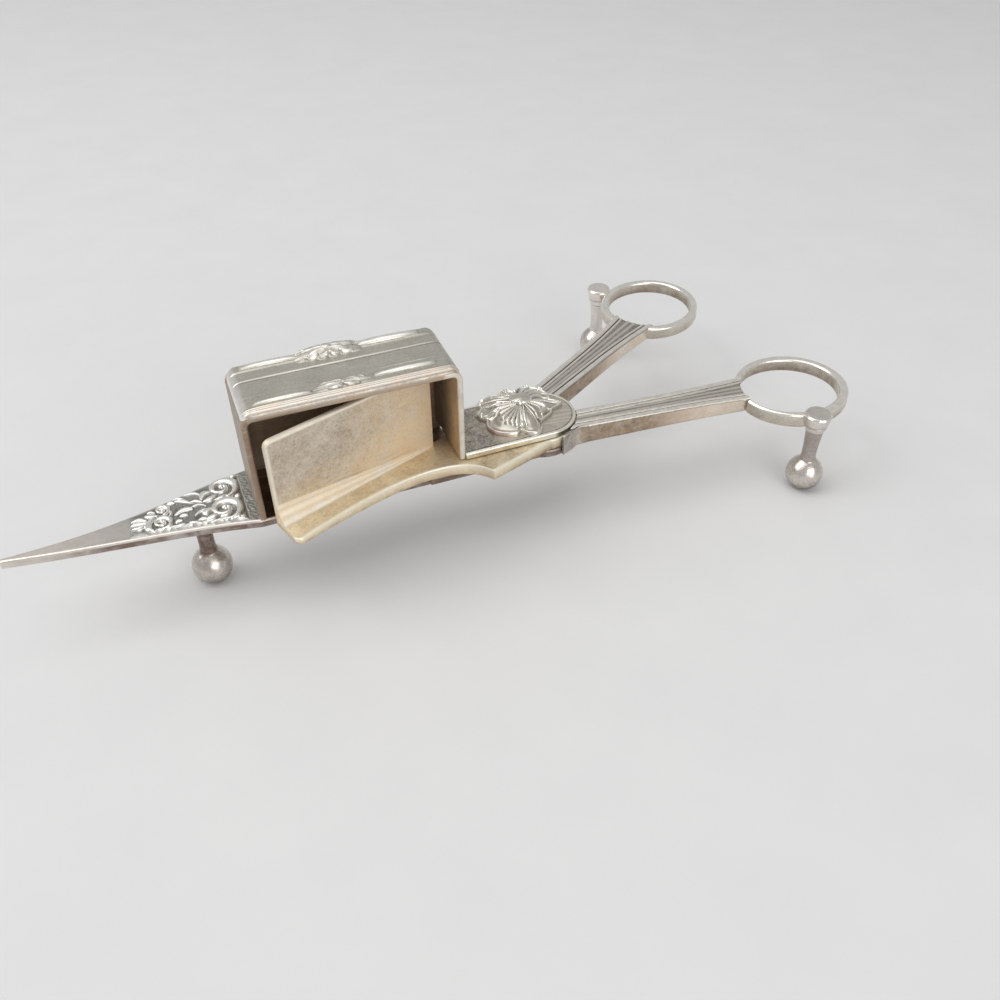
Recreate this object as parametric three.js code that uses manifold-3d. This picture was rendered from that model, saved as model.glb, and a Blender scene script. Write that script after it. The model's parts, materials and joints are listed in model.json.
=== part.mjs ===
// Candle snuffer scissors in silver plate, standing open on three ball feet.
// Millimetres, +Z up. The work is laid out about the pivot: +X runs towards the finger rings,
// -X towards the spike and -Y towards the box's open mouth. The finished group is then moved so
// that its origin lies under the middle of the whole, on the table.

import * as THREE from 'three';
import { mergeVertices } from 'three/addons/utils/BufferGeometryUtils.js';
import Module from 'manifold-3d';

// Stack of plates at the pivot, from the table upwards
const PAN_UNDERSIDE = 17.7;
const PAN_THICKNESS = 1.9;
const BLADE_THICKNESS = 2.5;
const HINGE_PLATE_THICKNESS = 1.4;
const RUNNING_GAP = 0.2; // between plates that slide over each other
const JOINT_GAP = 0.3; // solder joint between fitted pieces

// Pivot
const HUB_RADIUS = 8.4; // round end of the upper hinge leaf
const LOWER_HUB_RADIUS = 9.1; // round end of the lower leaf
const PRESS_HUB_RADIUS = 8.9; // disc of the press lever between them
const RIVET_RADIUS = 1.8;
const RIVET_CLEARANCE = 0.1;
const RIVET_HEAD_RADIUS = 3.0;
const RIVET_HEAD_HEIGHT = 1.0;
const WASHER_RADIUS = 3.8;
const WASHER_THICKNESS = 0.7;
const LEAF_BEVEL = 0.4; // worn top edge of the upper hinge leaf
const SHOULDER_GAP = 0.3; // between the hinge leaves and the handles' hollow shoulders

// Box for the trimmed wicks
const BOX_TO_PIVOT = 21.0; // outside of the right wall
const BOX_LENGTH = 45.6;
const BOX_FRONT = 8.0; // the mouth, in front of the pivot
const BOX_DEPTH = 18.4;
const BOX_ROOF = 25.7; // roof above the pan
const BOX_WALL = 1.3;
const BOX_BEND = 2.4; // outer radius of the bent strip
const COVER_THICKNESS = 1.2;
const COVER_INSET = 1.5; // its ends, from the box's outside
const COVER_ROUND = 4.2; // run of its rounded ends
const COVER_BORDER = 3.4; // reeded border along the front and the back
const COVER_SINK = 0.45; // field of the cover below its borders
const COVER_RIDGE = 1.1; // width of the ridge along the middle
const COVER_RIDGE_RISE = 0.45;
const COVER_OVERHANG = 0.2;

// Spike
const SPIKE_REACH = 50.8; // from the box to the tip
const SPIKE_TIP_WIDTH = 1.3;
const SPIKE_BEVEL = 0.5;

// Cast scrolls on the spike
const SCROLL_REACH = 6.8; // middle of the large pair, from the box's left wall
const SCROLL_RADIUS = 3.6; // large pair
const SMALL_SCROLL_REACH = 18.6; // middle of the small pair
const SMALL_SCROLL_RADIUS = 2.1; // small pair
const SCROLL_TURNS = 1.4;
const SCROLL_RIB = 0.55; // radius of the scroll's rib
const SCROLL_GROUND = 0.4; // thickness of the cast ground
const SCROLL_START = 2.4; // the ground begins so far from the box's left wall
const SCROLL_BORDER = 0.7; // plain border along the spike's edges
const BUD_REACH = 23.6; // middle of the leaf bud
const BUD_LENGTH = 5.2;
const BUD_WIDTH = 2.6;
const SPRAY_REACH = 12.4; // middle of the leaf sprays between the scrolls
const SPRAY_LENGTH = 3.8;
const SPRAY_WIDTH = 1.3;

// Blade and press plate, drawn with the box closed
const OPEN_ANGLE = 18.5; // degrees that the press lever stands open at rest
const OPEN_MORE = 20; // degrees that it opens further
const PLATE_THICKNESS = 1.1;
const PLATE_HEIGHT = 20.2;
const PLATE_CORNER = 1.6; // rounding of its free upper corner
const PLATE_BACK_GAP = 0.4; // to the rear wall when closed
const PLATE_SWING_GAP = 0.3; // to the left wall as the plate swings in
const PLATE_HUB_GAP = 2.7; // to the right wall
const PLATE_FOOT_DEPTH = 1.5; // moulded foot on the front of the plate
const PLATE_FOOT_HEIGHT = 4.2;
const PLATE_FOOT_LESS = 0.3; // share of the foot that is left at its hub end
const PLATE_FOOT_SHORT = 4.0; // the foot stops short of the hub end
const BLADE_TIP_WIDTH = 8.2;
const CUSP_REACH = 20.4; // cusp of the blade, from the pivot
const CUSP_OFFSET = 8.1;
const BLADE_TIP_ROUND = 1.4;
const THROAT_PULL = 13.6; // pull of the throat's curve, in from the cusp
const THROAT_EASE = 3.0; // weaker by so much towards the tip

// Handles, each drawn along +X in its own frame about the pivot
const HANDLE_OFFSET = 4.1; // its middle line beside the pivot
const HANDLE_LENGTH = 51.6; // from the pivot to the ring's near side
const HANDLE_HUB_WIDTH = 6.6;
const NEAR_HANDLE_RING_WIDTH = 9.2;
const FAR_HANDLE_RING_WIDTH = 10.4;
const HANDLE_HUB_HEIGHT = 5.7;
const HANDLE_RING_HEIGHT = 4.4;
const HANDLE_DROP = 2.3; // fall of the top from the hub to the ring
const HANDLE_BELOW_LEAF = 0.3; // its top below the upper leaf's top
const REED_OUTER = 1.35; // width of the outer reed
const REED_INNER = 0.75;
const REED_DEPTH = 0.55;
const NEAR_HANDLE_ANGLE = -1.9; // degrees from +X
const FAR_HANDLE_ANGLE = 33.5; // degrees from +X at rest
const FLARE_TIP = 2.0; // the near handle's flared shoulder comes so near the pivot line
const FLARE_LIP = 0.6; // and stands so far outside the hollow
const FLARE_RUN = 8.8; // where it meets the handle's flank
const TANG_WIDTH = 3.2;
const TANG_THICKNESS = 1.6;
const TANG_REACH = 17;

// Finger rings
const RING_BEYOND = 12.1; // centre of the ring past the handle's length
const NEAR_RING_OUT = 6.7; // centre of the ring beside the pivot line
const FAR_RING_OUT = 5.0;
const RING_RADIUS = 12.9; // outside, across the handle
const RING_LONG_RADIUS = 13.93; // outside, along the handle
const RING_WALL = 2.0;
const RING_HEIGHT = 3.4;
const RING_EDGE = 0.7; // rounding of its rims
const NEAR_OPENING_SHIFT = 0.6; // the near ring's wall is thinner towards its handle
const RING_BELOW_HANDLE = 0.35;

// Feet
const BALL_RADIUS = 4.35;
const FOOT_PAD_RADIUS = 1.2; // worn flat under the ball
const LEG_NECK_RADIUS = 2.0;
const LEG_WAIST_RADIUS = 1.7;
const LEG_TOP_RADIUS = 2.1;
const FRONT_LEG_TOP_RADIUS = 1.8;
const BOSS_RADIUS = 3.2;
const BOSS_FOOT_RADIUS = 2.35; // it tapers towards the leg
const BOSS_HEIGHT = 4.8;
const BOSS_ABOVE_RING = 0.75;
const FOOT_OUT = 20.2; // foot beside the pivot line
const FOOT_BACK = 1.45; // and a little nearer the pivot than the ring's centre
const FRONT_FOOT_REACH = 11.7; // front foot past the box

// Cast shell on the pivot
const SHELL_LENGTH = 21;
const SHELL_WIDTH = 18.4;
const SHELL_HEIGHT = 3.6;
const SHELL_SHIFT = 4.2; // its middle from the pivot, towards the box
const SHELL_ASIDE = 1.3; // and away from the mouth
const SHELL_LOBES = 7;
const SHELL_LOBE_DEPTH = 1.1; // notches between the lobes
const SHELL_FLUTES = 21;
const SHELL_FLUTE = 0.35; // depth of the flutes fanned round the collar
const SHELL_HOLLOW = 0.4; // hollow of each lobe inside its lip
const SHELL_COLLAR = 2.6; // radius of the smooth domed collar
const SHELL_COLLAR_RISE = 0.5;
const SHELL_RIM = 0.8;
const SHELL_SOCKET = 1.5; // depth of the rivet in the shell

// Facets
const ROUND = 32;
const CURVE_STEPS = 10;
const OVERCUT = 1; // cutters run past the faces that they open

// Heights and places that follow from the sizes above
const PAN_TOP = PAN_UNDERSIDE + PAN_THICKNESS;
const BLADE_BOTTOM = PAN_TOP + RUNNING_GAP;
const BLADE_TOP = BLADE_BOTTOM + BLADE_THICKNESS;
const LEAF_BOTTOM = BLADE_TOP + RUNNING_GAP;
const LEAF_TOP = LEAF_BOTTOM + HINGE_PLATE_THICKNESS;
const ROOF_TOP = PAN_TOP + BOX_ROOF;
const BOX_RIGHT = -BOX_TO_PIVOT;
const BOX_LEFT = BOX_RIGHT - BOX_LENGTH;
const MOUTH = -BOX_FRONT;
const BACK = MOUTH + BOX_DEPTH;
const BACK_INSIDE = BACK - BOX_WALL;
const SPIKE_TIP = BOX_LEFT - SPIKE_REACH;
const HANDLE_TOP = LEAF_TOP - HANDLE_BELOW_LEAF;
const RING_ALONG = HANDLE_LENGTH + RING_BEYOND;
const RING_TOP = HANDLE_TOP - HANDLE_DROP - RING_BELOW_HANDLE;
const BOSS_TOP = RING_TOP + BOSS_ABOVE_RING;
const FOOT_ALONG = RING_ALONG - FOOT_BACK;
const SHOULDER_RADIUS = LOWER_HUB_RADIUS + SHOULDER_GAP;
const RING_OVAL = RING_LONG_RADIUS / RING_RADIUS;
const RING_BOTTOM = RING_TOP - RING_HEIGHT;
const PLATE_BACK = BACK_INSIDE - PLATE_BACK_GAP;
const PLATE_FRONT = PLATE_BACK - PLATE_THICKNESS;
const LEFT_INSIDE = BOX_LEFT + BOX_WALL;
const PLATE_END = -Math.sqrt((LEFT_INSIDE + PLATE_SWING_GAP) ** 2 - PLATE_BACK ** 2);
const PLATE_START = BOX_RIGHT - BOX_WALL - PLATE_HUB_GAP;

// The near handle lies on the -Y side. Each is hollowed where the hinge leaf comes closest to it
const NEAR = {
  side: -1,
  ringWidth: NEAR_HANDLE_RING_WIDTH,
  ringOut: NEAR_RING_OUT,
  openingShift: NEAR_OPENING_SHIFT,
  leafAngle: -NEAR_HANDLE_ANGLE,
};
const FAR = {
  side: 1,
  ringWidth: FAR_HANDLE_RING_WIDTH,
  ringOut: FAR_RING_OUT,
  openingShift: 0,
  leafAngle: -FAR_HANDLE_ANGLE - OPEN_MORE,
};

const degrees = THREE.MathUtils.degToRad;
const wasm = await Module();
wasm.setup();

// Solids and booleans

function solid(geometry) {
  const bare = geometry.clone();
  bare.deleteAttribute('normal');
  bare.deleteAttribute('uv');
  const merged = mergeVertices(bare, 1e-5);
  const mesh = new wasm.Mesh({
    numProp: 3,
    vertProperties: new Float32Array(merged.attributes.position.array),
    triVerts: new Uint32Array(merged.index.array),
  });
  mesh.merge();
  return new wasm.Manifold(mesh);
}

function surface(body) {
  const mesh = body.getMesh();
  const geometry = new THREE.BufferGeometry();
  geometry.setAttribute('position', new THREE.BufferAttribute(new Float32Array(mesh.vertProperties), 3));
  geometry.setIndex(new THREE.BufferAttribute(new Uint32Array(mesh.triVerts), 1));
  return geometry;
}

function join(...geometries) {
  return surface(geometries.map(solid).reduce((whole, piece) => whole.add(piece)));
}

function cut(geometry, ...tools) {
  return surface(tools.map(solid).reduce((whole, tool) => whole.subtract(tool), solid(geometry)));
}

// Turns every face of a closed mesh outwards, whichever way it was wound
function faceOut(geometry) {
  const place = geometry.attributes.position;
  const index = geometry.index.array;
  const [a, b, c] = [new THREE.Vector3(), new THREE.Vector3(), new THREE.Vector3()];
  let volume = 0;
  for (let i = 0; i < index.length; i += 3) {
    a.fromBufferAttribute(place, index[i]);
    b.fromBufferAttribute(place, index[i + 1]);
    c.fromBufferAttribute(place, index[i + 2]);
    volume += a.dot(b.cross(c));
  }
  if (volume < 0) {
    for (let i = 0; i < index.length; i += 3) [index[i], index[i + 1]] = [index[i + 1], index[i]];
  }
  return geometry;
}

// Skin over a row of closed sections with the same number of points, capped at both ends
function loft(sections) {
  const count = sections[0].length;
  const points = sections.flat();
  const faces = [];
  for (let row = 0; row + 1 < sections.length; row += 1) {
    for (let k = 0; k < count; k += 1) {
      const here = row * count + k;
      const next = row * count + (k + 1) % count;
      faces.push(here, next, next + count, here, next + count, here + count);
    }
  }
  const last = (sections.length - 1) * count;
  for (const [start, flip] of [[0, true], [last, false]]) {
    const middle = points.length;
    const ring = points.slice(start, start + count);
    points.push(ring.reduce((sum, p) => sum.add(p), new THREE.Vector3()).divideScalar(count));
    for (let k = 0; k < count; k += 1) {
      const pair = [start + k, start + (k + 1) % count];
      if (flip) pair.reverse();
      faces.push(middle, ...pair);
    }
  }
  const geometry = new THREE.BufferGeometry().setFromPoints(points);
  geometry.setIndex(faces);
  return faceOut(geometry);
}

// A flat outline in plan, raised from one height to another
function plate(shape, bottom, top, bevel = 0) {
  const geometry = new THREE.ExtrudeGeometry(shape, {
    depth: top - bottom - 2 * bevel,
    curveSegments: CURVE_STEPS,
    bevelEnabled: bevel > 0,
    bevelThickness: bevel,
    bevelSize: bevel,
    bevelOffset: -bevel,
    bevelSegments: 1,
  });
  return geometry.translate(0, 0, bottom + bevel);
}

function drum(radius, bottom, top, x = 0, y = 0) {
  const geometry = new THREE.CylinderGeometry(radius, radius, top - bottom, ROUND);
  return geometry.rotateX(Math.PI / 2).translate(x, y, (top + bottom) / 2);
}

// A profile of radius and height, turned about an upright axis
function turned(profile, x = 0, y = 0, oval = 1) {
  const geometry = new THREE.LatheGeometry(profile, ROUND);
  geometry.deleteAttribute('normal');
  geometry.deleteAttribute('uv');
  const closed = mergeVertices(geometry, 1e-5);
  closed.rotateX(Math.PI / 2).scale(oval, 1, 1).translate(x, y, 0);
  return surface(solid(faceOut(closed)));
}

// Hinge leaf: straight from the box's right wall, with a round end about the pivot
function leafOutline(reach, radius, half = radius) {
  const shape = new THREE.Shape();
  const turn = Math.PI - Math.asin(half / radius);
  shape.moveTo(reach, -half);
  shape.lineTo(radius * Math.cos(turn), -half);
  shape.absarc(0, 0, radius, -turn, turn, false);
  shape.lineTo(reach, half);
  shape.closePath();
  return shape;
}

// Strip in the handle's middle line that the handle is fitted over, in the handle's own frame
function tang(arm, bottom, spare) {
  const width = TANG_WIDTH + 2 * spare;
  const length = TANG_REACH + spare;
  return new THREE.BoxGeometry(length, width, TANG_THICKNESS + 2 * spare)
    .translate(length / 2, arm.side * HANDLE_OFFSET, bottom + TANG_THICKNESS / 2);
}

// Pan, spike and lower hinge leaf, one flat plate

// A long edge of the spike, drawn in from the pan's corner to the tip by two shares of its width
function spikeEdge(width, tip, first, second) {
  return new THREE.CubicBezierCurve(
    new THREE.Vector2(BOX_LEFT, width),
    new THREE.Vector2(BOX_LEFT - SPIKE_REACH * first.along, width * first.across),
    new THREE.Vector2(BOX_LEFT - SPIKE_REACH * second.along, width * second.across),
    new THREE.Vector2(SPIKE_TIP, tip));
}

const SPIKE_NEAR_EDGE = spikeEdge(MOUTH, -SPIKE_TIP_WIDTH / 2,
  { along: 0.31, across: 0.52 }, { along: 0.56, across: 0.56 });
const SPIKE_FAR_EDGE = spikeEdge(BACK, SPIKE_TIP_WIDTH / 2,
  { along: 0.33, across: 0.68 }, { along: 0.52, across: 0.1 });

function panAndSpike() {
  const outline = new THREE.Shape([
    new THREE.Vector2(BOX_RIGHT, MOUTH),
    ...SPIKE_NEAR_EDGE.getPoints(CURVE_STEPS),
    ...SPIKE_FAR_EDGE.getPoints(CURVE_STEPS).reverse(),
    new THREE.Vector2(BOX_RIGHT, BACK),
  ]);
  const leafPlan = leafOutline(BOX_RIGHT - HUB_RADIUS, LOWER_HUB_RADIUS, HUB_RADIUS);
  const leaf = plate(leafPlan, PAN_UNDERSIDE, PAN_TOP);
  const strip = tang(NEAR, PAN_UNDERSIDE, 0).rotateZ(degrees(NEAR_HANDLE_ANGLE));
  const body = join(plate(outline, PAN_UNDERSIDE, PAN_TOP, SPIKE_BEVEL), leaf, strip);
  return cut(body, drum(RIVET_RADIUS + RIVET_CLEARANCE, PAN_UNDERSIDE - OVERCUT, PAN_TOP + OVERCUT));
}

// Cast relief: two large scrolls and two small ones with leaf sprays between them, and a bud

function scrollRib(x, y, radius, turn, start) {
  const points = [];
  const steps = 20;
  const eye = 0.22; // the spiral closes to this share of its radius
  for (let k = 0; k <= steps; k += 1) {
    const share = k / steps;
    const angle = start + turn * share * SCROLL_TURNS * 2 * Math.PI;
    const reach = radius * (1 - (1 - eye) * share);
    points.push(new THREE.Vector3(x + reach * Math.cos(angle), y + reach * Math.sin(angle), 0));
  }
  const section = new THREE.Shape();
  section.absarc(0, 0, SCROLL_RIB, 0, 2 * Math.PI);
  return new THREE.ExtrudeGeometry(section, {
    extrudePath: new THREE.CatmullRomCurve3(points),
    steps: 24,
    curveSegments: 4,
    bevelEnabled: false,
  }).translate(0, 0, PAN_TOP + SCROLL_GROUND);
}

// A plump leaf, lying on the cast ground and turned about the upright
function reliefLeaf(x, y, length, width, angle) {
  return new THREE.SphereGeometry(1, 10, 6)
    .scale(length / 2, width / 2, SCROLL_RIB * 1.3)
    .rotateZ(degrees(angle))
    .translate(x, y, PAN_TOP + SCROLL_GROUND);
}

// Ground of the relief: the spike's own outline, drawn in by a plain border
function reliefGround(from, to) {
  const inside = (p) => p.x <= from && p.x >= to;
  const edge = (curve, border) => curve.getPoints(4 * CURVE_STEPS).filter(inside)
    .map((p) => new THREE.Vector2(p.x, p.y + border));
  return new THREE.Shape([
    ...edge(SPIKE_NEAR_EDGE, SCROLL_BORDER),
    ...edge(SPIKE_FAR_EDGE, -SCROLL_BORDER).reverse(),
  ]);
}

function spikeScrolls() {
  const large = BOX_LEFT - SCROLL_REACH;
  const small = BOX_LEFT - SMALL_SCROLL_REACH;
  const spray = BOX_LEFT - SPRAY_REACH;
  const bud = BOX_LEFT - BUD_REACH;
  const line = (MOUTH + BACK) / 2; // middle line of the box, which the spike leaves towards its tip
  const smallLine = line / 2;
  const largeRib = SCROLL_RADIUS - SCROLL_RIB;
  const smallRib = SMALL_SCROLL_RADIUS - SCROLL_RIB;
  const body = join(
    plate(reliefGround(BOX_LEFT - SCROLL_START, bud), PAN_TOP, PAN_TOP + SCROLL_GROUND),
    scrollRib(large, line + SCROLL_RADIUS, largeRib, 1, Math.PI),
    scrollRib(large, line - SCROLL_RADIUS, largeRib, -1, Math.PI),
    scrollRib(small, smallLine + SMALL_SCROLL_RADIUS, smallRib, 1, 0),
    scrollRib(small, smallLine - SMALL_SCROLL_RADIUS, smallRib, -1, 0),
    reliefLeaf(large + SCROLL_RADIUS, line, 2 * SPRAY_WIDTH, SPRAY_WIDTH, 0),
    ...[-35, 0, 35].map((angle) => reliefLeaf(spray, line - angle / 35 * SPRAY_LENGTH / 2,
      SPRAY_LENGTH, SPRAY_WIDTH, angle)),
    reliefLeaf(bud, 0, BUD_LENGTH, BUD_WIDTH, 0),
    reliefLeaf(bud + BUD_LENGTH / 2, 0, BUD_WIDTH, SPRAY_WIDTH, 90),
  );
  const below = new THREE.BoxGeometry(2 * SPIKE_REACH, 4 * BOX_DEPTH, PAN_TOP)
    .translate(BOX_LEFT, 0, PAN_TOP / 2);
  return cut(body, below);
}

// Box: a strip bent over three sides, a rear wall and a moulded cover

function wrapOutline() {
  const shape = new THREE.Shape();
  const inner = BOX_BEND - BOX_WALL;
  shape.moveTo(BOX_LEFT, PAN_TOP);
  shape.lineTo(BOX_LEFT, ROOF_TOP - BOX_BEND);
  shape.absarc(BOX_LEFT + BOX_BEND, ROOF_TOP - BOX_BEND, BOX_BEND, Math.PI, Math.PI / 2, true);
  shape.absarc(BOX_RIGHT - BOX_BEND, ROOF_TOP - BOX_BEND, BOX_BEND, Math.PI / 2, 0, true);
  shape.lineTo(BOX_RIGHT, LEAF_BOTTOM);
  shape.lineTo(BOX_RIGHT - BOX_WALL, LEAF_BOTTOM);
  shape.absarc(BOX_RIGHT - BOX_BEND, ROOF_TOP - BOX_BEND, inner, 0, Math.PI / 2, false);
  shape.absarc(BOX_LEFT + BOX_BEND, ROOF_TOP - BOX_BEND, inner, Math.PI / 2, Math.PI, false);
  shape.lineTo(BOX_LEFT + BOX_WALL, PAN_TOP);
  shape.closePath();
  return shape;
}

function rearOutline() {
  const shape = new THREE.Shape();
  shape.moveTo(BOX_LEFT, PAN_TOP);
  shape.lineTo(BOX_LEFT, ROOF_TOP - BOX_BEND);
  shape.absarc(BOX_LEFT + BOX_BEND, ROOF_TOP - BOX_BEND, BOX_BEND, Math.PI, Math.PI / 2, true);
  shape.absarc(BOX_RIGHT - BOX_BEND, ROOF_TOP - BOX_BEND, BOX_BEND, Math.PI / 2, 0, true);
  shape.lineTo(BOX_RIGHT, PAN_TOP);
  shape.closePath();
  return shape;
}

// An outline in X and Z, carried back along Y from one depth to another
function upright(shape, front, back) {
  const geometry = new THREE.ExtrudeGeometry(shape, {
    depth: back - front,
    curveSegments: 6,
    bevelEnabled: false,
  });
  return geometry.rotateX(Math.PI / 2).translate(0, back, 0);
}

function boxTopCover() {
  const front = MOUTH - COVER_OVERHANG;
  const top = ROOF_TOP + COVER_THICKNESS;
  const field = top - COVER_SINK;
  const reed = COVER_BORDER / 2;
  const ridge = (MOUTH + BACK) / 2;
  const shape = new THREE.Shape();
  shape.moveTo(front, ROOF_TOP);
  shape.lineTo(BACK, ROOF_TOP);
  shape.quadraticCurveTo(BACK, top, BACK - reed, top);
  shape.quadraticCurveTo(BACK - reed, field, BACK - reed * 1.3, field);
  shape.quadraticCurveTo(BACK - reed * 1.6, top, BACK - COVER_BORDER, field);
  shape.lineTo(ridge + COVER_RIDGE / 2, field);
  shape.lineTo(ridge, field + COVER_RIDGE_RISE);
  shape.lineTo(ridge - COVER_RIDGE / 2, field);
  shape.lineTo(front + COVER_BORDER, field);
  shape.quadraticCurveTo(front + reed * 1.6, top, front + reed * 1.3, field);
  shape.quadraticCurveTo(front + reed, field, front + reed, top);
  shape.quadraticCurveTo(front, top, front, ROOF_TOP);
  const outline = shape.getPoints(3).slice(0, -1);
  const left = BOX_LEFT + COVER_INSET;
  const right = BOX_RIGHT - COVER_INSET;
  const section = (x, rise) => outline
    .map((p) => new THREE.Vector3(x, p.x, ROOF_TOP + (p.y - ROOF_TOP) * rise));
  const lip = 0.3; // share of the thickness left at the very ends
  const rounding = [0, 0.1, 0.3, 0.6, 1]
    .map((share) => [share * COVER_ROUND, lip + (1 - lip) * Math.sqrt(share * (2 - share))]);
  return loft([
    ...rounding.map(([inwards, rise]) => section(left + inwards, rise)),
    ...rounding.reverse().map(([inwards, rise]) => section(right - inwards, rise)),
  ]);
}

function hingeTopPlate() {
  const edge = (radius, height) => leafOutline(BOX_RIGHT, radius).getPoints(CURVE_STEPS * 2).slice(0, -1)
    .map((p) => new THREE.Vector3(p.x, p.y, height));
  const leaf = loft([
    edge(HUB_RADIUS, LEAF_BOTTOM),
    edge(HUB_RADIUS, LEAF_TOP - LEAF_BEVEL),
    edge(HUB_RADIUS - LEAF_BEVEL, LEAF_TOP),
  ]);
  return cut(leaf, drum(RIVET_RADIUS + RIVET_CLEARANCE, LEAF_BOTTOM - OVERCUT, LEAF_TOP + OVERCUT));
}

// Shell: a smooth domed collar, flutes fanned round it and hollow lobes with a lip to the rim

function pivotShell() {
  const around = SHELL_FLUTES * 4;
  const angles = Array.from({ length: around }, (_, k) => k / around * 2 * Math.PI);
  const flutesEnd = 0.68; // share of the radius where the lobes begin
  const collar = 2 * SHELL_COLLAR / SHELL_WIDTH;
  const ring = (share, rise, flute) => angles.map((angle) => {
    const notch = SHELL_LOBE_DEPTH * share * share * (1 - Math.cos(angle * SHELL_LOBES)) / 2;
    const reach = (size) => (size / 2 - notch) * share;
    return new THREE.Vector3(
      -SHELL_SHIFT + reach(SHELL_LENGTH) * Math.cos(angle),
      SHELL_ASIDE + reach(SHELL_WIDTH) * Math.sin(angle),
      LEAF_TOP + rise + flute * Math.cos(angle * SHELL_FLUTES));
  });
  const dome = (share) => SHELL_RIM + (SHELL_HEIGHT - SHELL_COLLAR_RISE - SHELL_RIM)
    * Math.sqrt(1 - share * share);
  const hollow = (1 + flutesEnd) / 2;
  const sections = [
    ring(1, 0, 0),
    ring(1, SHELL_RIM * 0.8, 0),
    ring(0.95, SHELL_RIM, 0),
    ring(hollow, dome(hollow) - SHELL_HOLLOW, 0),
    ring(flutesEnd, dome(flutesEnd) - SHELL_HOLLOW, 0),
    ring(flutesEnd - 0.08, dome(flutesEnd), SHELL_FLUTE),
    ring((flutesEnd + collar) / 2, dome(collar), SHELL_FLUTE * 0.7),
    ring(collar * 1.1, dome(collar) - SHELL_HOLLOW / 2, 0),
    ring(collar, dome(collar) + SHELL_COLLAR_RISE * 0.6, 0),
    ring(collar / 2, dome(0) + SHELL_COLLAR_RISE, 0),
  ];
  const socket = drum(RIVET_RADIUS + RIVET_CLEARANCE,
    LEAF_TOP - OVERCUT, LEAF_TOP + SHELL_SOCKET + RUNNING_GAP);
  return cut(loft(sections), socket);
}

function pivotRivet() {
  const head = PAN_UNDERSIDE - WASHER_THICKNESS;
  const profile = [
    new THREE.Vector2(0, head - RIVET_HEAD_HEIGHT),
    new THREE.Vector2(RIVET_HEAD_RADIUS * 0.55, head - RIVET_HEAD_HEIGHT * 0.85),
    new THREE.Vector2(RIVET_HEAD_RADIUS * 0.88, head - RIVET_HEAD_HEIGHT * 0.45),
    new THREE.Vector2(RIVET_HEAD_RADIUS, head),
    new THREE.Vector2(RIVET_RADIUS, head),
    new THREE.Vector2(RIVET_RADIUS, LEAF_TOP + SHELL_SOCKET),
    new THREE.Vector2(0, LEAF_TOP + SHELL_SOCKET),
  ];
  return turned(profile);
}

function rivetWasher() {
  const inner = RIVET_RADIUS + RIVET_CLEARANCE;
  const bottom = PAN_UNDERSIDE - WASHER_THICKNESS;
  return turned([
    new THREE.Vector2(inner, bottom),
    new THREE.Vector2(WASHER_RADIUS, bottom),
    new THREE.Vector2(WASHER_RADIUS, PAN_UNDERSIDE),
    new THREE.Vector2(inner, PAN_UNDERSIDE),
    new THREE.Vector2(inner, bottom),
  ]);
}

// Handles

// Half of the handle's section, from the middle of its top to the middle of its underside
function reededHalf(half, height) {
  const shape = new THREE.Shape();
  const outer = half - REED_OUTER;
  const inner = outer - REED_INNER;
  shape.moveTo(0, -REED_DEPTH * 0.55);
  shape.lineTo(inner, -REED_DEPTH * 0.55);
  shape.quadraticCurveTo((inner + outer) / 2, REED_DEPTH * 0.3, outer, -REED_DEPTH);
  shape.quadraticCurveTo(outer + REED_OUTER * 0.1, 0, outer + REED_OUTER * 0.55, 0);
  shape.quadraticCurveTo(half, 0, half, -REED_DEPTH * 1.6);
  shape.lineTo(half, -height * 0.7);
  shape.quadraticCurveTo(half, -height, half * 0.75, -height);
  shape.lineTo(0, -height);
  return shape.getPoints(4);
}

function plainHalf(half, height) {
  return [[0, 0], [half, 0], [half, -height], [0, -height]].map(([y, z]) => new THREE.Vector2(y, z));
}

// Handle carried from the pivot to inside the ring, widened at its end
function handleBody(arm, half, from, spare) {
  const reach = HANDLE_LENGTH + RING_WALL * 2;
  const sections = [];
  const stations = 12;
  for (let k = 0; k <= stations; k += 1) {
    const along = from + (reach - from) * k / stations;
    const share = along / HANDLE_LENGTH;
    const flare = Math.max(0, share - 0.55) / 0.45;
    const widening = 0.45 * share + 0.55 * flare * flare;
    const width = HANDLE_HUB_WIDTH + (arm.ringWidth - HANDLE_HUB_WIDTH) * widening;
    const height = HANDLE_HUB_HEIGHT + (HANDLE_RING_HEIGHT - HANDLE_HUB_HEIGHT) * share + 2 * spare;
    const top = HANDLE_TOP - HANDLE_DROP * share + spare;
    const right = half(width / 2 + spare, height);
    const left = right.slice(1, -1).reverse().map((p) => new THREE.Vector2(-p.x, p.y));
    const place = (p) => new THREE.Vector3(along, arm.side * (HANDLE_OFFSET + p.x), top + p.y);
    sections.push([...right, ...left].map(place));
  }
  return loft(sections);
}

// Opening of the finger ring, eased at both rims
function ringWindow(arm) {
  const radius = RING_RADIUS - RING_WALL;
  const eased = radius + RING_EDGE / 2;
  const profile = [
    new THREE.Vector2(0, 0),
    new THREE.Vector2(eased, 0),
    new THREE.Vector2(eased, RING_BOTTOM),
    new THREE.Vector2(radius, RING_BOTTOM + RING_EDGE),
    new THREE.Vector2(radius, RING_TOP - RING_EDGE),
    new THREE.Vector2(eased, RING_TOP),
    new THREE.Vector2(eased, 2 * LEAF_TOP),
    new THREE.Vector2(0, 2 * LEAF_TOP),
  ];
  const oval = (RING_LONG_RADIUS - RING_WALL + arm.openingShift / 2) / radius;
  return turned(profile, RING_ALONG - arm.openingShift, arm.side * arm.ringOut, oval);
}

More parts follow.
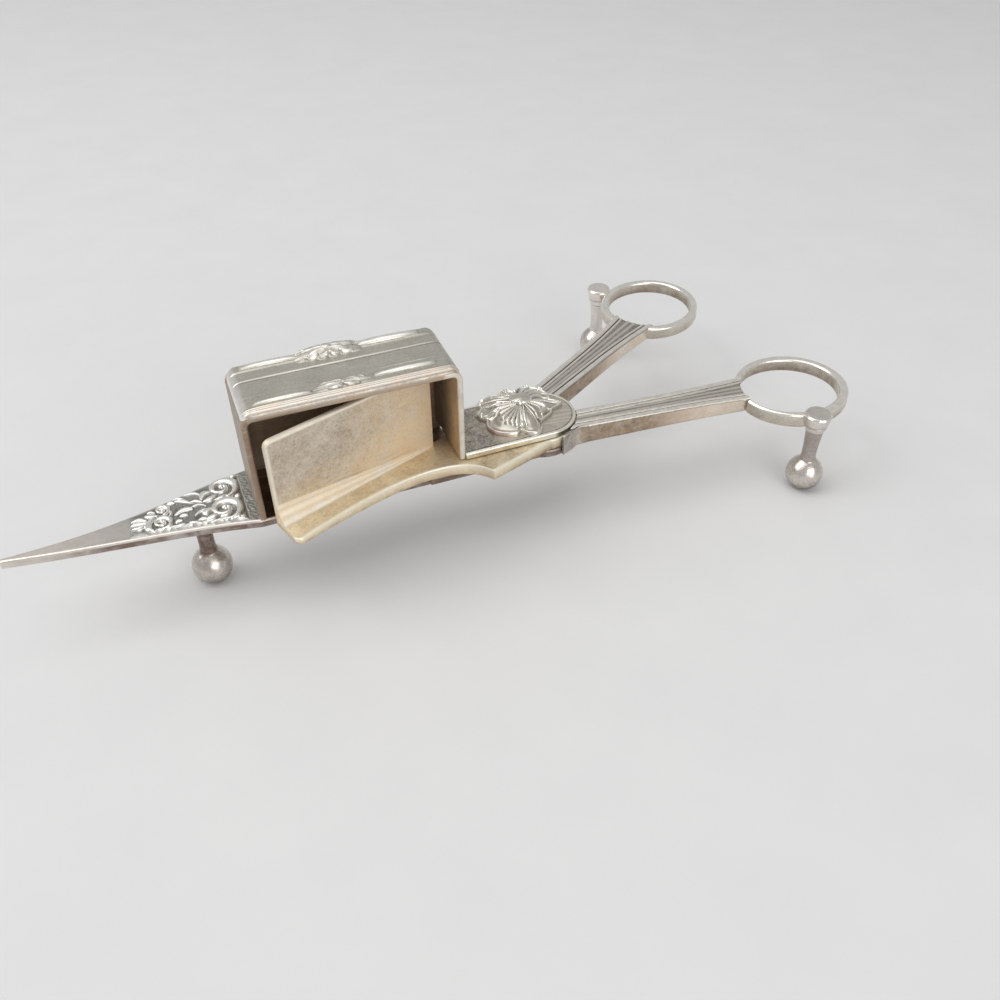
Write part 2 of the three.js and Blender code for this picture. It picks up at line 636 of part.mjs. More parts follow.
// The near handle's shoulder flares out round the hinge in a hollow curve
function shoulderFlare(arm) {
  const flank = HANDLE_OFFSET + HANDLE_HUB_WIDTH / 2;
  const shape = new THREE.Shape();
  shape.moveTo(FLARE_TIP, arm.side * (SHOULDER_RADIUS + FLARE_LIP));
  shape.quadraticCurveTo(FLARE_RUN * 0.7, arm.side * flank, FLARE_RUN, arm.side * flank);
  shape.lineTo(FLARE_RUN, arm.side * HANDLE_OFFSET);
  shape.lineTo(FLARE_TIP, arm.side * HANDLE_OFFSET);
  shape.closePath();
  return plate(shape, HANDLE_TOP - HANDLE_HUB_HEIGHT, HANDLE_TOP - REED_DEPTH * 1.6);
}

// Hollowed in a step: wider round the hub, closer round the upper leaf
function handle(bar, arm, tangBottom) {
  const hollow = (radius, bottom, top) => plate(leafOutline(BOX_RIGHT, radius), bottom, top)
    .rotateZ(degrees(arm.leafAngle));
  return cut(bar,
    hollow(SHOULDER_RADIUS, 0, LEAF_BOTTOM),
    hollow(HUB_RADIUS + SHOULDER_GAP, LEAF_BOTTOM - OVERCUT, 2 * LEAF_TOP),
    ringWindow(arm),
    tang(arm, tangBottom, JOINT_GAP));
}

function nearHandle() {
  const bar = handleBody(NEAR, reededHalf, HANDLE_OFFSET, 0);
  return handle(join(bar, shoulderFlare(NEAR)), NEAR, PAN_UNDERSIDE);
}

function farHandle() {
  return handle(handleBody(FAR, reededHalf, HANDLE_OFFSET, 0), FAR, BLADE_BOTTOM);
}

// Finger ring: an oval disc with a rounded rim, opened by its window and where the handle is let in

function ringDisc(arm, spare) {
  const outer = RING_RADIUS + spare;
  const top = RING_TOP + spare;
  const bottom = RING_BOTTOM - spare;
  const section = new THREE.Shape();
  section.moveTo(0, bottom);
  section.lineTo(outer - RING_EDGE, bottom);
  section.quadraticCurveTo(outer, bottom, outer, bottom + RING_EDGE);
  section.lineTo(outer, top - RING_EDGE);
  section.quadraticCurveTo(outer, top, outer - RING_EDGE, top);
  section.lineTo(0, top);
  return turned(section.getPoints(3), RING_ALONG, arm.side * arm.ringOut, RING_OVAL);
}

function fingerRing(arm) {
  return cut(ringDisc(arm, 0), ringWindow(arm), handleBody(arm, plainHalf, HANDLE_LENGTH * 0.8, JOINT_GAP));
}

function footBoss(arm) {
  const bottom = BOSS_TOP - BOSS_HEIGHT;
  const edge = BOSS_RADIUS * 0.12;
  const profile = [
    new THREE.Vector2(0, bottom),
    new THREE.Vector2(LEG_TOP_RADIUS, bottom),
    new THREE.Vector2(BOSS_FOOT_RADIUS, bottom + edge),
    new THREE.Vector2(BOSS_RADIUS, BOSS_TOP - edge),
    new THREE.Vector2(BOSS_RADIUS - edge, BOSS_TOP),
    new THREE.Vector2(0, BOSS_TOP),
  ];
  return cut(turned(profile, FOOT_ALONG, arm.side * FOOT_OUT), ringDisc(arm, JOINT_GAP));
}

// Turned leg with a ball, worn flat where it stands
function foot(top, topRadius, x, y) {
  const centre = Math.sqrt(BALL_RADIUS ** 2 - FOOT_PAD_RADIUS ** 2);
  const start = -Math.acos(FOOT_PAD_RADIUS / BALL_RADIUS);
  const end = Math.acos(LEG_NECK_RADIUS / BALL_RADIUS);
  const profile = [new THREE.Vector2(0, 0)];
  for (let k = 0; k <= CURVE_STEPS; k += 1) {
    const angle = start + (end - start) * k / CURVE_STEPS;
    profile.push(new THREE.Vector2(
      BALL_RADIUS * Math.cos(angle),
      centre + BALL_RADIUS * Math.sin(angle)));
  }
  const neck = profile.at(-1).y;
  const leg = new THREE.SplineCurve([
    new THREE.Vector2(LEG_NECK_RADIUS, neck),
    new THREE.Vector2(LEG_WAIST_RADIUS, neck + (top - neck) * 0.25),
    new THREE.Vector2(LEG_WAIST_RADIUS * 1.08, neck + (top - neck) * 0.6),
    new THREE.Vector2(topRadius, top),
  ]);
  profile.push(...leg.getPoints(6).slice(1), new THREE.Vector2(0, top));
  return turned(profile, x, y);
}

// Press lever, drawn closed

function pressBlade() {
  const tipFront = PLATE_BACK - BLADE_TIP_WIDTH;
  const cusp = new THREE.Vector2(-CUSP_REACH, -CUSP_OFFSET);
  const throat = cusp.y + THROAT_PULL;
  const outline = new THREE.Shape();
  const hubAngle = Math.asin(CUSP_OFFSET / PRESS_HUB_RADIUS);
  outline.moveTo(cusp.x, cusp.y);
  outline.absarc(0, 0, PRESS_HUB_RADIUS, Math.PI + hubAngle, 2.5 * Math.PI, false);
  outline.lineTo(PLATE_START, PLATE_BACK);
  outline.lineTo(PLATE_END, PLATE_BACK);
  outline.lineTo(PLATE_END, tipFront + BLADE_TIP_ROUND);
  outline.quadraticCurveTo(PLATE_END, tipFront, PLATE_END + BLADE_TIP_ROUND, tipFront);
  outline.bezierCurveTo(cusp.x * 2.48, throat - THROAT_EASE, cusp.x * 1.14, throat, cusp.x, cusp.y);
  const strip = tang(FAR, BLADE_BOTTOM, 0).rotateZ(degrees(FAR_HANDLE_ANGLE - OPEN_ANGLE));
  const body = join(plate(outline, BLADE_BOTTOM, BLADE_TOP), strip);
  return cut(body, drum(RIVET_RADIUS + RIVET_CLEARANCE, BLADE_BOTTOM - OVERCUT, BLADE_TOP + OVERCUT));
}

function pressPlate() {
  const top = BLADE_TOP + PLATE_HEIGHT;
  const sheet = new THREE.Shape();
  sheet.moveTo(PLATE_START, BLADE_TOP);
  sheet.lineTo(PLATE_START, top);
  sheet.lineTo(PLATE_END + PLATE_CORNER, top);
  sheet.quadraticCurveTo(PLATE_END, top, PLATE_END, top - PLATE_CORNER);
  sheet.lineTo(PLATE_END, BLADE_TOP);
  sheet.closePath();
  return join(upright(sheet, PLATE_FRONT, PLATE_BACK), plateFoot());
}

// Moulded foot of the plate: a stepped section that shrinks towards the hub end
function plateFoot() {
  const inside = PLATE_FRONT + PLATE_THICKNESS / 2;
  const section = (x, share) => {
    const depth = PLATE_FOOT_DEPTH * share;
    const third = PLATE_FOOT_HEIGHT * share / 3;
    const steps = [[1, 0], [1, 0.8], [0.75, 1], [0.85, 1.6], [0.6, 1.9], [0.35, 2], [0.45, 2.6], [0, 3]];
    return [
      ...steps.map(([out, up]) => new THREE.Vector3(x, PLATE_FRONT - depth * out, BLADE_TOP + third * up)),
      new THREE.Vector3(x, inside, BLADE_TOP + 3 * third),
      new THREE.Vector3(x, inside, BLADE_TOP),
    ];
  };
  return loft([section(PLATE_END, 1), section(PLATE_START - PLATE_FOOT_SHORT, PLATE_FOOT_LESS)]);
}

// Assembly

const silver = (color, roughness) => new THREE.MeshStandardMaterial({ color, roughness, metalness: 1 });
const wornSilver = silver(0xb9b3a8, 0.32);
const castSilver = silver(0xc4beb2, 0.38);
const warmSilver = silver(0xb09c7c, 0.5);

function piece(name, geometry, material) {
  const mesh = new THREE.Mesh(geometry, material);
  mesh.name = name;
  return mesh;
}

// A handle with its ring, boss and foot, turned to its place about the pivot
function arm(name, place, bar, angle) {
  const group = new THREE.Group();
  group.rotation.z = degrees(angle);
  group.add(
    piece(`${name}_handle`, bar, wornSilver),
    piece(`${name}_ring`, fingerRing(place), wornSilver),
    piece(`${name}_foot_boss`, footBoss(place), wornSilver),
    piece(`${name}_foot`, foot(BOSS_TOP - BOSS_HEIGHT, LEG_TOP_RADIUS, FOOT_ALONG, place.side * FOOT_OUT),
      wornSilver),
  );
  return group;
}

const boxLever = new THREE.Group();
boxLever.add(
  piece('pan_and_spike', panAndSpike(), wornSilver),
  piece('spike_scrolls', spikeScrolls(), castSilver),
  piece('box_wrap', upright(wrapOutline(), MOUTH, BACK_INSIDE), wornSilver),
  piece('box_back', upright(rearOutline(), BACK_INSIDE, BACK), wornSilver),
  piece('box_top_cover', boxTopCover(), castSilver),
  piece('hinge_top_plate', hingeTopPlate(), wornSilver),
  piece('pivot_shell', pivotShell(), castSilver),
  piece('pivot_rivet', pivotRivet(), wornSilver),
  piece('rivet_washer', rivetWasher(), wornSilver),
  piece('front_foot', foot(PAN_UNDERSIDE, FRONT_LEG_TOP_RADIUS, BOX_LEFT - FRONT_FOOT_REACH, 0),
    wornSilver),
  arm('near', NEAR, nearHandle(), NEAR_HANDLE_ANGLE),
);

const pressLever = new THREE.Group();
pressLever.rotation.z = degrees(OPEN_ANGLE);
pressLever.add(
  piece('press_blade', pressBlade(), warmSilver),
  piece('press_plate', pressPlate(), warmSilver),
  arm('far', FAR, farHandle(), FAR_HANDLE_ANGLE - OPEN_ANGLE),
);

const snuffers = new THREE.Group();
snuffers.add(boxLever, pressLever);
snuffers.updateMatrixWorld(true);
const extent = new THREE.Box3().setFromObject(snuffers, true);
const middle = extent.getCenter(new THREE.Vector3());
snuffers.position.set(-middle.x, -middle.y, -extent.min.z);

export default snuffers;
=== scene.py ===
import json

import bpy
import numpy as np
from mathutils import Matrix


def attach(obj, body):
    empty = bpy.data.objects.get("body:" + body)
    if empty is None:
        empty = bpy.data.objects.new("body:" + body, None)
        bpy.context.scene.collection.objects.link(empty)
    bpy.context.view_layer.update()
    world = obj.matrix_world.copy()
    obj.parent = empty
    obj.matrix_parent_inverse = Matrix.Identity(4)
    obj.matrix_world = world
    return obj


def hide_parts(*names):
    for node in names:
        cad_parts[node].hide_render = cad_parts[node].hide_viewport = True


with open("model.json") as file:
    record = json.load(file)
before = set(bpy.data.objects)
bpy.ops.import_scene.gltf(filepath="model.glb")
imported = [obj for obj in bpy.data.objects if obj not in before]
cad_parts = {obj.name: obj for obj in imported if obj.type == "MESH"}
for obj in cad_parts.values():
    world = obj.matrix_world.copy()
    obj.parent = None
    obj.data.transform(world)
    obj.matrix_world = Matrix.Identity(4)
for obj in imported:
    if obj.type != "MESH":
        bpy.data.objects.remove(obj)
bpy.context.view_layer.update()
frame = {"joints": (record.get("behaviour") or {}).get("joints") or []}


# Pan and spike: one flat plate of silver on copper, sawn to outline. It floors the wick box, runs out to
# the long spike and ends in the lower hinge leaf; its edge is bevelled and rubbed through to the copper.

PIVOT = np.array(frame["joints"][0]["pos_m"]) * [1000, 1000, 0]
PAN_BOTTOM, PAN_TOP = 17.7, 19.6
BOX_LEFT, BOX_RIGHT = -66.6, -21.0
BOX_MOUTH, BOX_BACK = -8.0, 10.4
SPIKE_TIP = -117.4
SPIKE_TIP_HALF = 0.65
HUB_RADIUS, LOWER_HUB_RADIUS = 8.4, 9.1
PAN_BEVEL, PAN_FOOT_EDGE = 0.55, 0.25
TIP_RUB_FROM, TIP_RUB_RUN = -94, 16
EDGE_RUB_ENDS = -60


def add(tree, kind, inputs=None, **properties):
    """A node with its properties set; inputs gives a socket a value or another node's output."""
    made = tree.nodes.new(kind)
    for key, value in properties.items():
        setattr(made, key, value)
    for socket, value in (inputs or {}).items():
        if isinstance(value, bpy.types.NodeSocket):
            tree.links.new(value, made.inputs[socket])
        else:
            made.inputs[socket].default_value = value
    return made


def sum_up(tree, operation, first, second, third=0.0, clamp=False):
    """One Math node on two or three values or outputs."""
    inputs = {0: first, 1: second, 2: third}
    return add(tree, "ShaderNodeMath", inputs, operation=operation, use_clamp=clamp).outputs[0]


def tint(tree, factor, first, second):
    """One Mix node between two colours."""
    return add(tree, "ShaderNodeMix", {0: factor, 6: first, 7: second}, data_type="RGBA").outputs[2]


def spread(tree, value, low, high):
    """A noise's narrow middle range spread over 0 to 1."""
    return add(tree, "ShaderNodeMapRange", {0: value, 1: low, 2: high}).outputs[0]


def noise(tree, place, scale, detail=4.0, roughness=0.55):
    """Noise of so many cells to the metre."""
    return add(tree, "ShaderNodeTexNoise",
               {"Vector": place, "Scale": scale, "Detail": detail, "Roughness": roughness}).outputs[0]


def age_and_light_group():
    """What years of use do to plated silver: cloudy tarnish and fine specks where nothing rubs, bright
    metal where hands and cloths do, copper bleeding through, and fine scratches in two directions. In some
    pieces the same three inputs also carry painted light: lighter, warmer colour where light is painted and
    painted highlights along crests and rims."""
    tree = bpy.data.node_groups.new("silver_age_and_painted_light", "ShaderNodeTree")
    for name, kind in [("Place", "Vector"), ("Wear_and_painted_light", "Float"), ("Grime_and_painted_light", "Float"), ("Copper_and_painted_light", "Float"),
                       ("Satin", "Color"), ("Rubbed", "Color"), ("Tarnish", "Color"), ("Warm", "Color"),
                       ("Mottle", "Float"), ("Dullness", "Float")]:
        tree.interface.new_socket(name, in_out="INPUT", socket_type="NodeSocket" + kind)
    for name, kind in [("Color", "Color"), ("Roughness", "Float"), ("Height", "Float")]:
        tree.interface.new_socket(name, in_out="OUTPUT", socket_type="NodeSocket" + kind)
    given = add(tree, "NodeGroupInput").outputs
    place = given["Place"]
    cloud = spread(tree, noise(tree, place, 190, 6, 0.62), 0.36, 0.66)
    patch = spread(tree, noise(tree, place, 560, 5, 0.6), 0.36, 0.64)
    speck = spread(tree, noise(tree, place, 1500, 3, 0.5), 0.5, 0.74)
    grit = spread(tree, noise(tree, place, 2900, 2, 0.6), 0.4, 0.68)
    scratches = []
    for turn, fineness in [(0.42, 2600), (-0.95, 3400)]:
        lined = add(tree, "ShaderNodeMapping",
                    {"Vector": place, "Rotation": (0.3, -0.2, turn), "Scale": (80, fineness, fineness / 2)})
        scratches.append(spread(tree, noise(tree, lined.outputs[0], 1, 2, 0.5), 0.62, 0.76))
    scratch = sum_up(tree, "MAXIMUM", *scratches)
    kept = sum_up(tree, "SUBTRACT", 1.0, given["Wear_and_painted_light"], clamp=True)
    stain = sum_up(tree, "MULTIPLY_ADD", speck, 0.5, sum_up(tree, "MULTIPLY", cloud, 0.5))
    stain = sum_up(tree, "MULTIPLY_ADD", grit, 0.35, stain)
    stain = sum_up(tree, "MULTIPLY_ADD", patch, 0.3, stain)
    stain = sum_up(tree, "MULTIPLY", sum_up(tree, "MULTIPLY", stain, given["Mottle"]), kept)
    # The grime input is real grime and soot, and in some pieces is lowered where light is painted.
    soil = sum_up(tree, "MULTIPLY", given["Grime_and_painted_light"], sum_up(tree, "MULTIPLY_ADD", patch, 0.5, 0.75))
    dirt_and_painted_light = sum_up(tree, "ADD", stain, soil, clamp=True)
    uneven = sum_up(tree, "MULTIPLY_ADD", patch, 0.45, 0.62)
    # The wear input is real rubbing, and in some pieces also a painted highlight or painted pool of light.
    rub_and_painted_light = sum_up(tree, "MULTIPLY", given["Wear_and_painted_light"], uneven, clamp=True)
    blotch = sum_up(tree, "MULTIPLY_ADD", cloud, 0.95, 0.38)
    # The copper input is copper showing through, and in some pieces also painted golden light.
    bleed_and_painted_light = sum_up(tree, "MULTIPLY", given["Copper_and_painted_light"], blotch, clamp=True)
    colour = tint(tree, bleed_and_painted_light, given["Satin"], given["Warm"])
    colour = tint(tree, dirt_and_painted_light, colour, given["Tarnish"])
    colour = tint(tree, rub_and_painted_light, colour, given["Rubbed"])
    colour = tint(tree, sum_up(tree, "MULTIPLY", scratch, 0.2), colour, given["Rubbed"])
    rough = sum_up(tree, "MULTIPLY_ADD", dirt_and_painted_light, 0.16, given["Dullness"])
    rough = sum_up(tree, "SUBTRACT", rough, sum_up(tree, "MULTIPLY", rub_and_painted_light, 0.1))
    rough = sum_up(tree, "MULTIPLY_ADD", patch, 0.06, rough, clamp=True)
    grain = sum_up(tree, "MULTIPLY", noise(tree, place, 4200, 3, 0.6), 0.5)
    height = sum_up(tree, "SUBTRACT", grain, sum_up(tree, "MULTIPLY", scratch, 0.5))
    height = sum_up(tree, "MULTIPLY_ADD", cloud, 0.6, height)
    add(tree, "NodeGroupOutput", {"Color": colour, "Roughness": rough, "Height": height})
    return tree


SILVER_AGE_AND_PAINTED_LIGHT = age_and_light_group()


def plated(name, satin, rubbed, tarnish, warm, mottle, dullness, relief=0.02, metal=1.0):
    """Aged plate in one piece's own colours, read from its attributes of wear, grime and copper, which in
    some pieces also carry painted light and painted highlights, so that rubbed and warm are there also the
    colours of painted light. relief is the depth in millimetres of its grain and scratches, and metal falls
    below 1 where the tarnish lies dull."""
    finish = bpy.data.materials.new(name)
    finish.use_nodes = True
    tree = finish.node_tree
    shader = tree.nodes["Principled BSDF"]
    shader.inputs["Metallic"].default_value = metal
    age = add(tree, "ShaderNodeGroup", node_tree=SILVER_AGE_AND_PAINTED_LIGHT)
    tree.links.new(add(tree, "ShaderNodeTexCoord").outputs["Object"], age.inputs["Place"])
    for key in ("wear_and_painted_light", "grime_and_painted_light", "copper_and_painted_light"):
        tree.links.new(add(tree, "ShaderNodeAttribute", attribute_name=key).outputs["Fac"],
                       age.inputs[key.capitalize()])
    for key, colour in (("Satin", satin), ("Rubbed", rubbed), ("Tarnish", tarnish), ("Warm", warm)):
        age.inputs[key].default_value = (*colour, 1)
    age.inputs["Mottle"].default_value = mottle
    age.inputs["Dullness"].default_value = dullness
    tree.links.new(age.outputs["Color"], shader.inputs["Base Color"])
    tree.links.new(age.outputs["Roughness"], shader.inputs["Roughness"])
    bump = add(tree, "ShaderNodeBump", {"Height": age.outputs["Height"], "Distance": relief / 1000})
    tree.links.new(bump.outputs[0], shader.inputs["Normal"])
    return finish


def bezier(first, second, third, fourth, steps):
    """Cubic curve through the first and last points, pulled towards the other two."""
    t = np.linspace(0, 1, steps)[:, None]
    weights = [(1 - t)**3, 3 * t * (1 - t)**2, 3 * t**2 * (1 - t), t**3]
    return sum(w * np.array(p, float) for w, p in zip(weights, (first, second, third, fourth)))


def arc(centre, radius, start, end, steps):
    """Points on a circle from one angle in degrees to another."""
    angle = np.radians(np.linspace(start, end, steps))
    return np.array(centre) + radius * np.stack([np.cos(angle), np.sin(angle)], 1)


def grid(rows, cols, around=False):
    """Quads between neighbours of a grid of points, row by row; around joins the last column to the first."""
    row = np.arange(rows - 1)[:, None]
    col = np.arange(cols if around else cols - 1)[None, :]
    after = (col + 1) % cols
    corners = [row * cols + col, row * cols + after, (row + 1) * cols + after, (row + 1) * cols + col]
    return np.stack(np.broadcast_arrays(*corners), -1).reshape(-1, 4)


def inset(outline, distance):
    """A closed outline moved inwards: each point goes along the mitre of its two edges."""
    ahead = np.roll(outline, -1, 0) - outline
    ahead = ahead / np.linalg.norm(ahead, axis=1)[:, None]
    normal = np.stack([-ahead[:, 1], ahead[:, 0]], 1)
    before = np.roll(normal, 1, 0)
    mitre = (normal + before) / np.clip(1 + (normal * before).sum(1), 0.4, None)[:, None]
    return outline + np.broadcast_to(distance, len(outline))[:, None] * mitre


def slab(outline, bottom, top, edge, foot_edge, room=100.0, cut=None):
    """Flat plate with rounded edges: rings of a counter-clockwise outline up a quarter circle at the foot
    and one at the top, a level ring inside each, and a flat face to close it, which cut divides by a strip
    after its two points. room limits the inset where it is narrow. Gives points, faces, rubbing, side."""
    turn = np.linspace(0, np.pi / 2, 6)
    inwards = 1 - np.sin(turn)
    rise = 1 - np.cos(turn)
    insets = np.concatenate([[1.4 * foot_edge], foot_edge * inwards, edge * inwards[::-1], [1.4 * edge]])
    heights = np.concatenate([[bottom], bottom + foot_edge * rise, (top - edge * rise)[::-1], [top]])
    rings = [np.column_stack([inset(outline, np.minimum(d, room)), np.full(len(outline), h)])
             for d, h in zip(insets, heights)]
    count = len(outline)
    last = (len(rings) - 1) * count
    order = np.arange(count)
    faces = [grid(len(rings), count, around=True), order[None, ::-1]]
    if cut is None:
        faces.append(last + order[None])
    else:
        one, other = cut
        faces += [last + order[None, one + 1:other + 1],
                  last + np.array([[one, one + 1, other, other + 1]]),
                  last + np.concatenate([order[other + 1:], order[:one + 1]])[None]]
    bend = 0.3 + 0.7 * np.sin(2 * turn)
    rubbed = np.concatenate([[0], bend, bend[::-1], [0]])
    side = np.concatenate([[0], np.sin(turn), np.sin(turn)[::-1]**3, [0]])
    return np.concatenate(rings), faces, np.repeat(rubbed, count), np.repeat(side, count)


def piece(name, body, points, faces, finish, turn=0, wear_and_painted_light=0.0, grime_and_painted_light=0.0, copper_and_painted_light=0.0):
    """A closed skin, given in millimetres about the pivot, turned about it by so many degrees and set in the
    row frame. All faces are reversed where the enclosed volume comes out negative."""
    angle = np.radians(turn)
    swing = np.array([[np.cos(angle), -np.sin(angle), 0], [np.sin(angle), np.cos(angle), 0], [0, 0, 1]])
    placed = (points @ swing.T + PIVOT) / 1000
    volume = 0.0
    for block in faces:
        corner = placed[block] - placed.mean(0)
        for k in range(1, block.shape[1] - 1):
            volume += (corner[:, 0] * np.cross(corner[:, k], corner[:, k + 1])).sum()
    step = -1 if volume < 0 else 1
    mesh = bpy.data.meshes.new(name)
    mesh.from_pydata(placed.tolist(), [], [face for block in faces for face in block[:, ::step].tolist()])
    mesh.polygons.foreach_set("use_smooth", np.ones(len(mesh.polygons), bool))
    mesh.set_sharp_from_angle(angle=1.1)
    for key, values in (("wear_and_painted_light", wear_and_painted_light), ("grime_and_painted_light", grime_and_painted_light), ("copper_and_painted_light", copper_and_painted_light)):
        level = np.broadcast_to(np.asarray(values, np.float32), len(points))
        mesh.attributes.new(key, "FLOAT", "POINT").data.foreach_set("value", np.clip(level, 0, 1))
    mesh.materials.append(finish)
    mesh.update()
    made = bpy.data.objects.new(name, mesh)
    bpy.context.scene.collection.objects.link(made)
    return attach(made, body)


SPIKE_RUN = BOX_LEFT - SPIKE_TIP
near_edge = bezier((BOX_LEFT, BOX_MOUTH), (BOX_LEFT - 0.31 * SPIKE_RUN, 0.52 * BOX_MOUTH),
                   (BOX_LEFT - 0.56 * SPIKE_RUN, 0.56 * BOX_MOUTH), (SPIKE_TIP, -SPIKE_TIP_HALF), 70)
far_edge = bezier((BOX_LEFT, BOX_BACK), (BOX_LEFT - 0.33 * SPIKE_RUN, 0.68 * BOX_BACK),
                  (BOX_LEFT - 0.52 * SPIKE_RUN, 0.1 * BOX_BACK), (SPIKE_TIP, SPIKE_TIP_HALF), 70)
FLOOR_LEFT = BOX_LEFT + 0.7
LEAF_ROOT = BOX_RIGHT - HUB_RADIUS
hub_turn = 180 - np.degrees(np.arcsin(HUB_RADIUS / LOWER_HUB_RADIUS))
hub_rim = arc((0, 0), LOWER_HUB_RADIUS, -hub_turn, hub_turn, 80)
pan_outline = np.concatenate([
    hub_rim, [(BOX_RIGHT, HUB_RADIUS), (BOX_RIGHT, BOX_BACK), (FLOOR_LEFT, BOX_BACK)],
    far_edge, near_edge[::-1],
    [(FLOOR_LEFT, BOX_MOUTH), (LEAF_ROOT, BOX_MOUTH), (LEAF_ROOT, -HUB_RADIUS)]])
floor_far = len(hub_rim) + 2
floor_near = floor_far + len(far_edge) + len(near_edge)
spike_half = (far_edge[:, 1] - near_edge[:, 1]) / 2
room = np.full(len(pan_outline), 100.0)
room[floor_far + 1:floor_near + 1] = 0.62 * np.concatenate([spike_half, spike_half[::-1]])
points, faces, rubbed, side = slab(pan_outline, PAN_BOTTOM, PAN_TOP, PAN_BEVEL, PAN_FOOT_EDGE, room,
                                   cut=(floor_far, floor_near))
under_box = points[:, 0] > BOX_LEFT + 0.3
in_box = under_box & (points[:, 2] > PAN_TOP - 0.05)
to_tip = 0.7 * np.clip((TIP_RUB_FROM - points[:, 0]) / TIP_RUB_RUN, 0, 1)
edge_rub = np.where(points[:, 0] > EDGE_RUB_ENDS, 0.2 * rubbed, np.maximum(0.8 * rubbed, to_tip))
copper_side = side * (1 - to_tip)
spike_silver = plated("spike_silver", satin=(0.68, 0.65, 0.61), rubbed=(0.97, 0.88, 0.79),
                      tarnish=(0.20, 0.14, 0.10), warm=(0.22, 0.15, 0.122), mottle=0.34, dullness=0.32)
pan = piece("pan_plate", "box_lever", points, faces, spike_silver,
            wear_and_painted_light=edge_rub * (1 - 0.8 * side * (1 - to_tip)),
            grime_and_painted_light=np.where(in_box, 0.75, np.where(under_box, 0.3, 0.0)),
            copper_and_painted_light=np.where(points[:, 2] < PAN_TOP - 0.5, copper_side, np.where(under_box, 0.7, 0.0)))
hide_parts("pan_and_spike")


# Spike scrolls: a thin cast relief soldered on the spike beside the box. Scrolls with leaf sprays and a
# bud stand up bright from a dulled ground, as the cleaning cloth only ever reached the high parts.

GROUND = 0.3
BORDER = 0.55
SOLDER_START, RELIEF_START, RELIEF_END = -66.75, -68.6, -92.6
SCROLL_RISE, LEAF_RISE, EDGE_LEAF_RISE = 0.85, 0.72, 0.55
SCROLLS = [((-72.5, 5.1), 3.35, -75, 1.2), ((-72.9, -1.9), 3.6, -80, 1.25),
           ((-85.4, 2.3), 1.55, -80, 0.75), ((-85.8, -1.6), 2.0, -70, 0.85)]


def rib(x, y, path, half_width, height):
    """Rounded rib: the largest, over the path's points, of the height there times the square root of one
    less the square of the distance to that point over the half width."""
    away = np.hypot(x[..., None] - path[:, 0], y[..., None] - path[:, 1]) / half_width
    return (height * np.sqrt(np.clip(1 - away**2, 0, None))).max(-1)


def leaf(x, y, start, bend, end, half_width, height):
    """A leaf: a rib along a bent line, pointed at its end and rounded at its root."""
    path = bezier(start, bend, bend, end, 26)
    t = np.linspace(0, 1, 26)
    swell = np.sqrt(np.clip(np.sin(np.pi * (0.12 + 0.88 * t)), 0.02, None))
    return rib(x, y, path, half_width * swell, height * (0.55 + 0.45 * swell))


def leaves(x, y, table, height):
    """The largest of many leaves, each given by its start, bend, end and half width."""
    return np.maximum.reduce([leaf(x, y, *row, height) for row in table])


def scroll(x, y, centre, radius, start, turns, half_width, height):
    """A scroll: a rib on a spiral that closes to its eye, thickest over its top, with a bead for the eye."""
    t = np.linspace(0, 1, 90)
    angle = np.radians(start) + 2 * np.pi * turns * t
    reach = radius * (1 - 0.88 * t)
    path = np.array(centre) + np.stack([reach * np.cos(angle), reach * np.sin(angle)], 1)
    taper = 0.42 + 0.58 * np.exp(-((t - 0.27) / 0.17)**2)
    spiral = rib(x, y, path, half_width * taper, height * (0.7 + 0.3 * taper))
    eye = rib(x, y, path[-1:], 0.62 * half_width, height)
    return np.maximum(spiral, eye)


def raised(x, y, top, foot):
    """A grid of heights as a closed skin: the grid, a wall down its border and a flat face under it."""
    rows, cols = x.shape
    number = np.arange(rows * cols).reshape(rows, cols)
    border = np.concatenate([number[0, :-1], number[:-1, -1], number[-1, :0:-1], number[:0:-1, 0]])
    upper = np.stack([x, y, top], -1).reshape(-1, 3)
    lower = upper[border].copy()
    lower[:, 2] = foot
    count = len(border)
    under = rows * cols + np.arange(count)
    wall = np.stack([border, under, np.roll(under, -1), np.roll(border, -1)], 1)
    return np.concatenate([upper, lower]), [grid(rows, cols), wall, under[None, ::-1]], count


def skirted(values, walls, level=0.0):
    """An attribute over a grid of heights, followed by its level on the points of the walls."""
    return np.append(np.ravel(values), np.broadcast_to(level, walls))


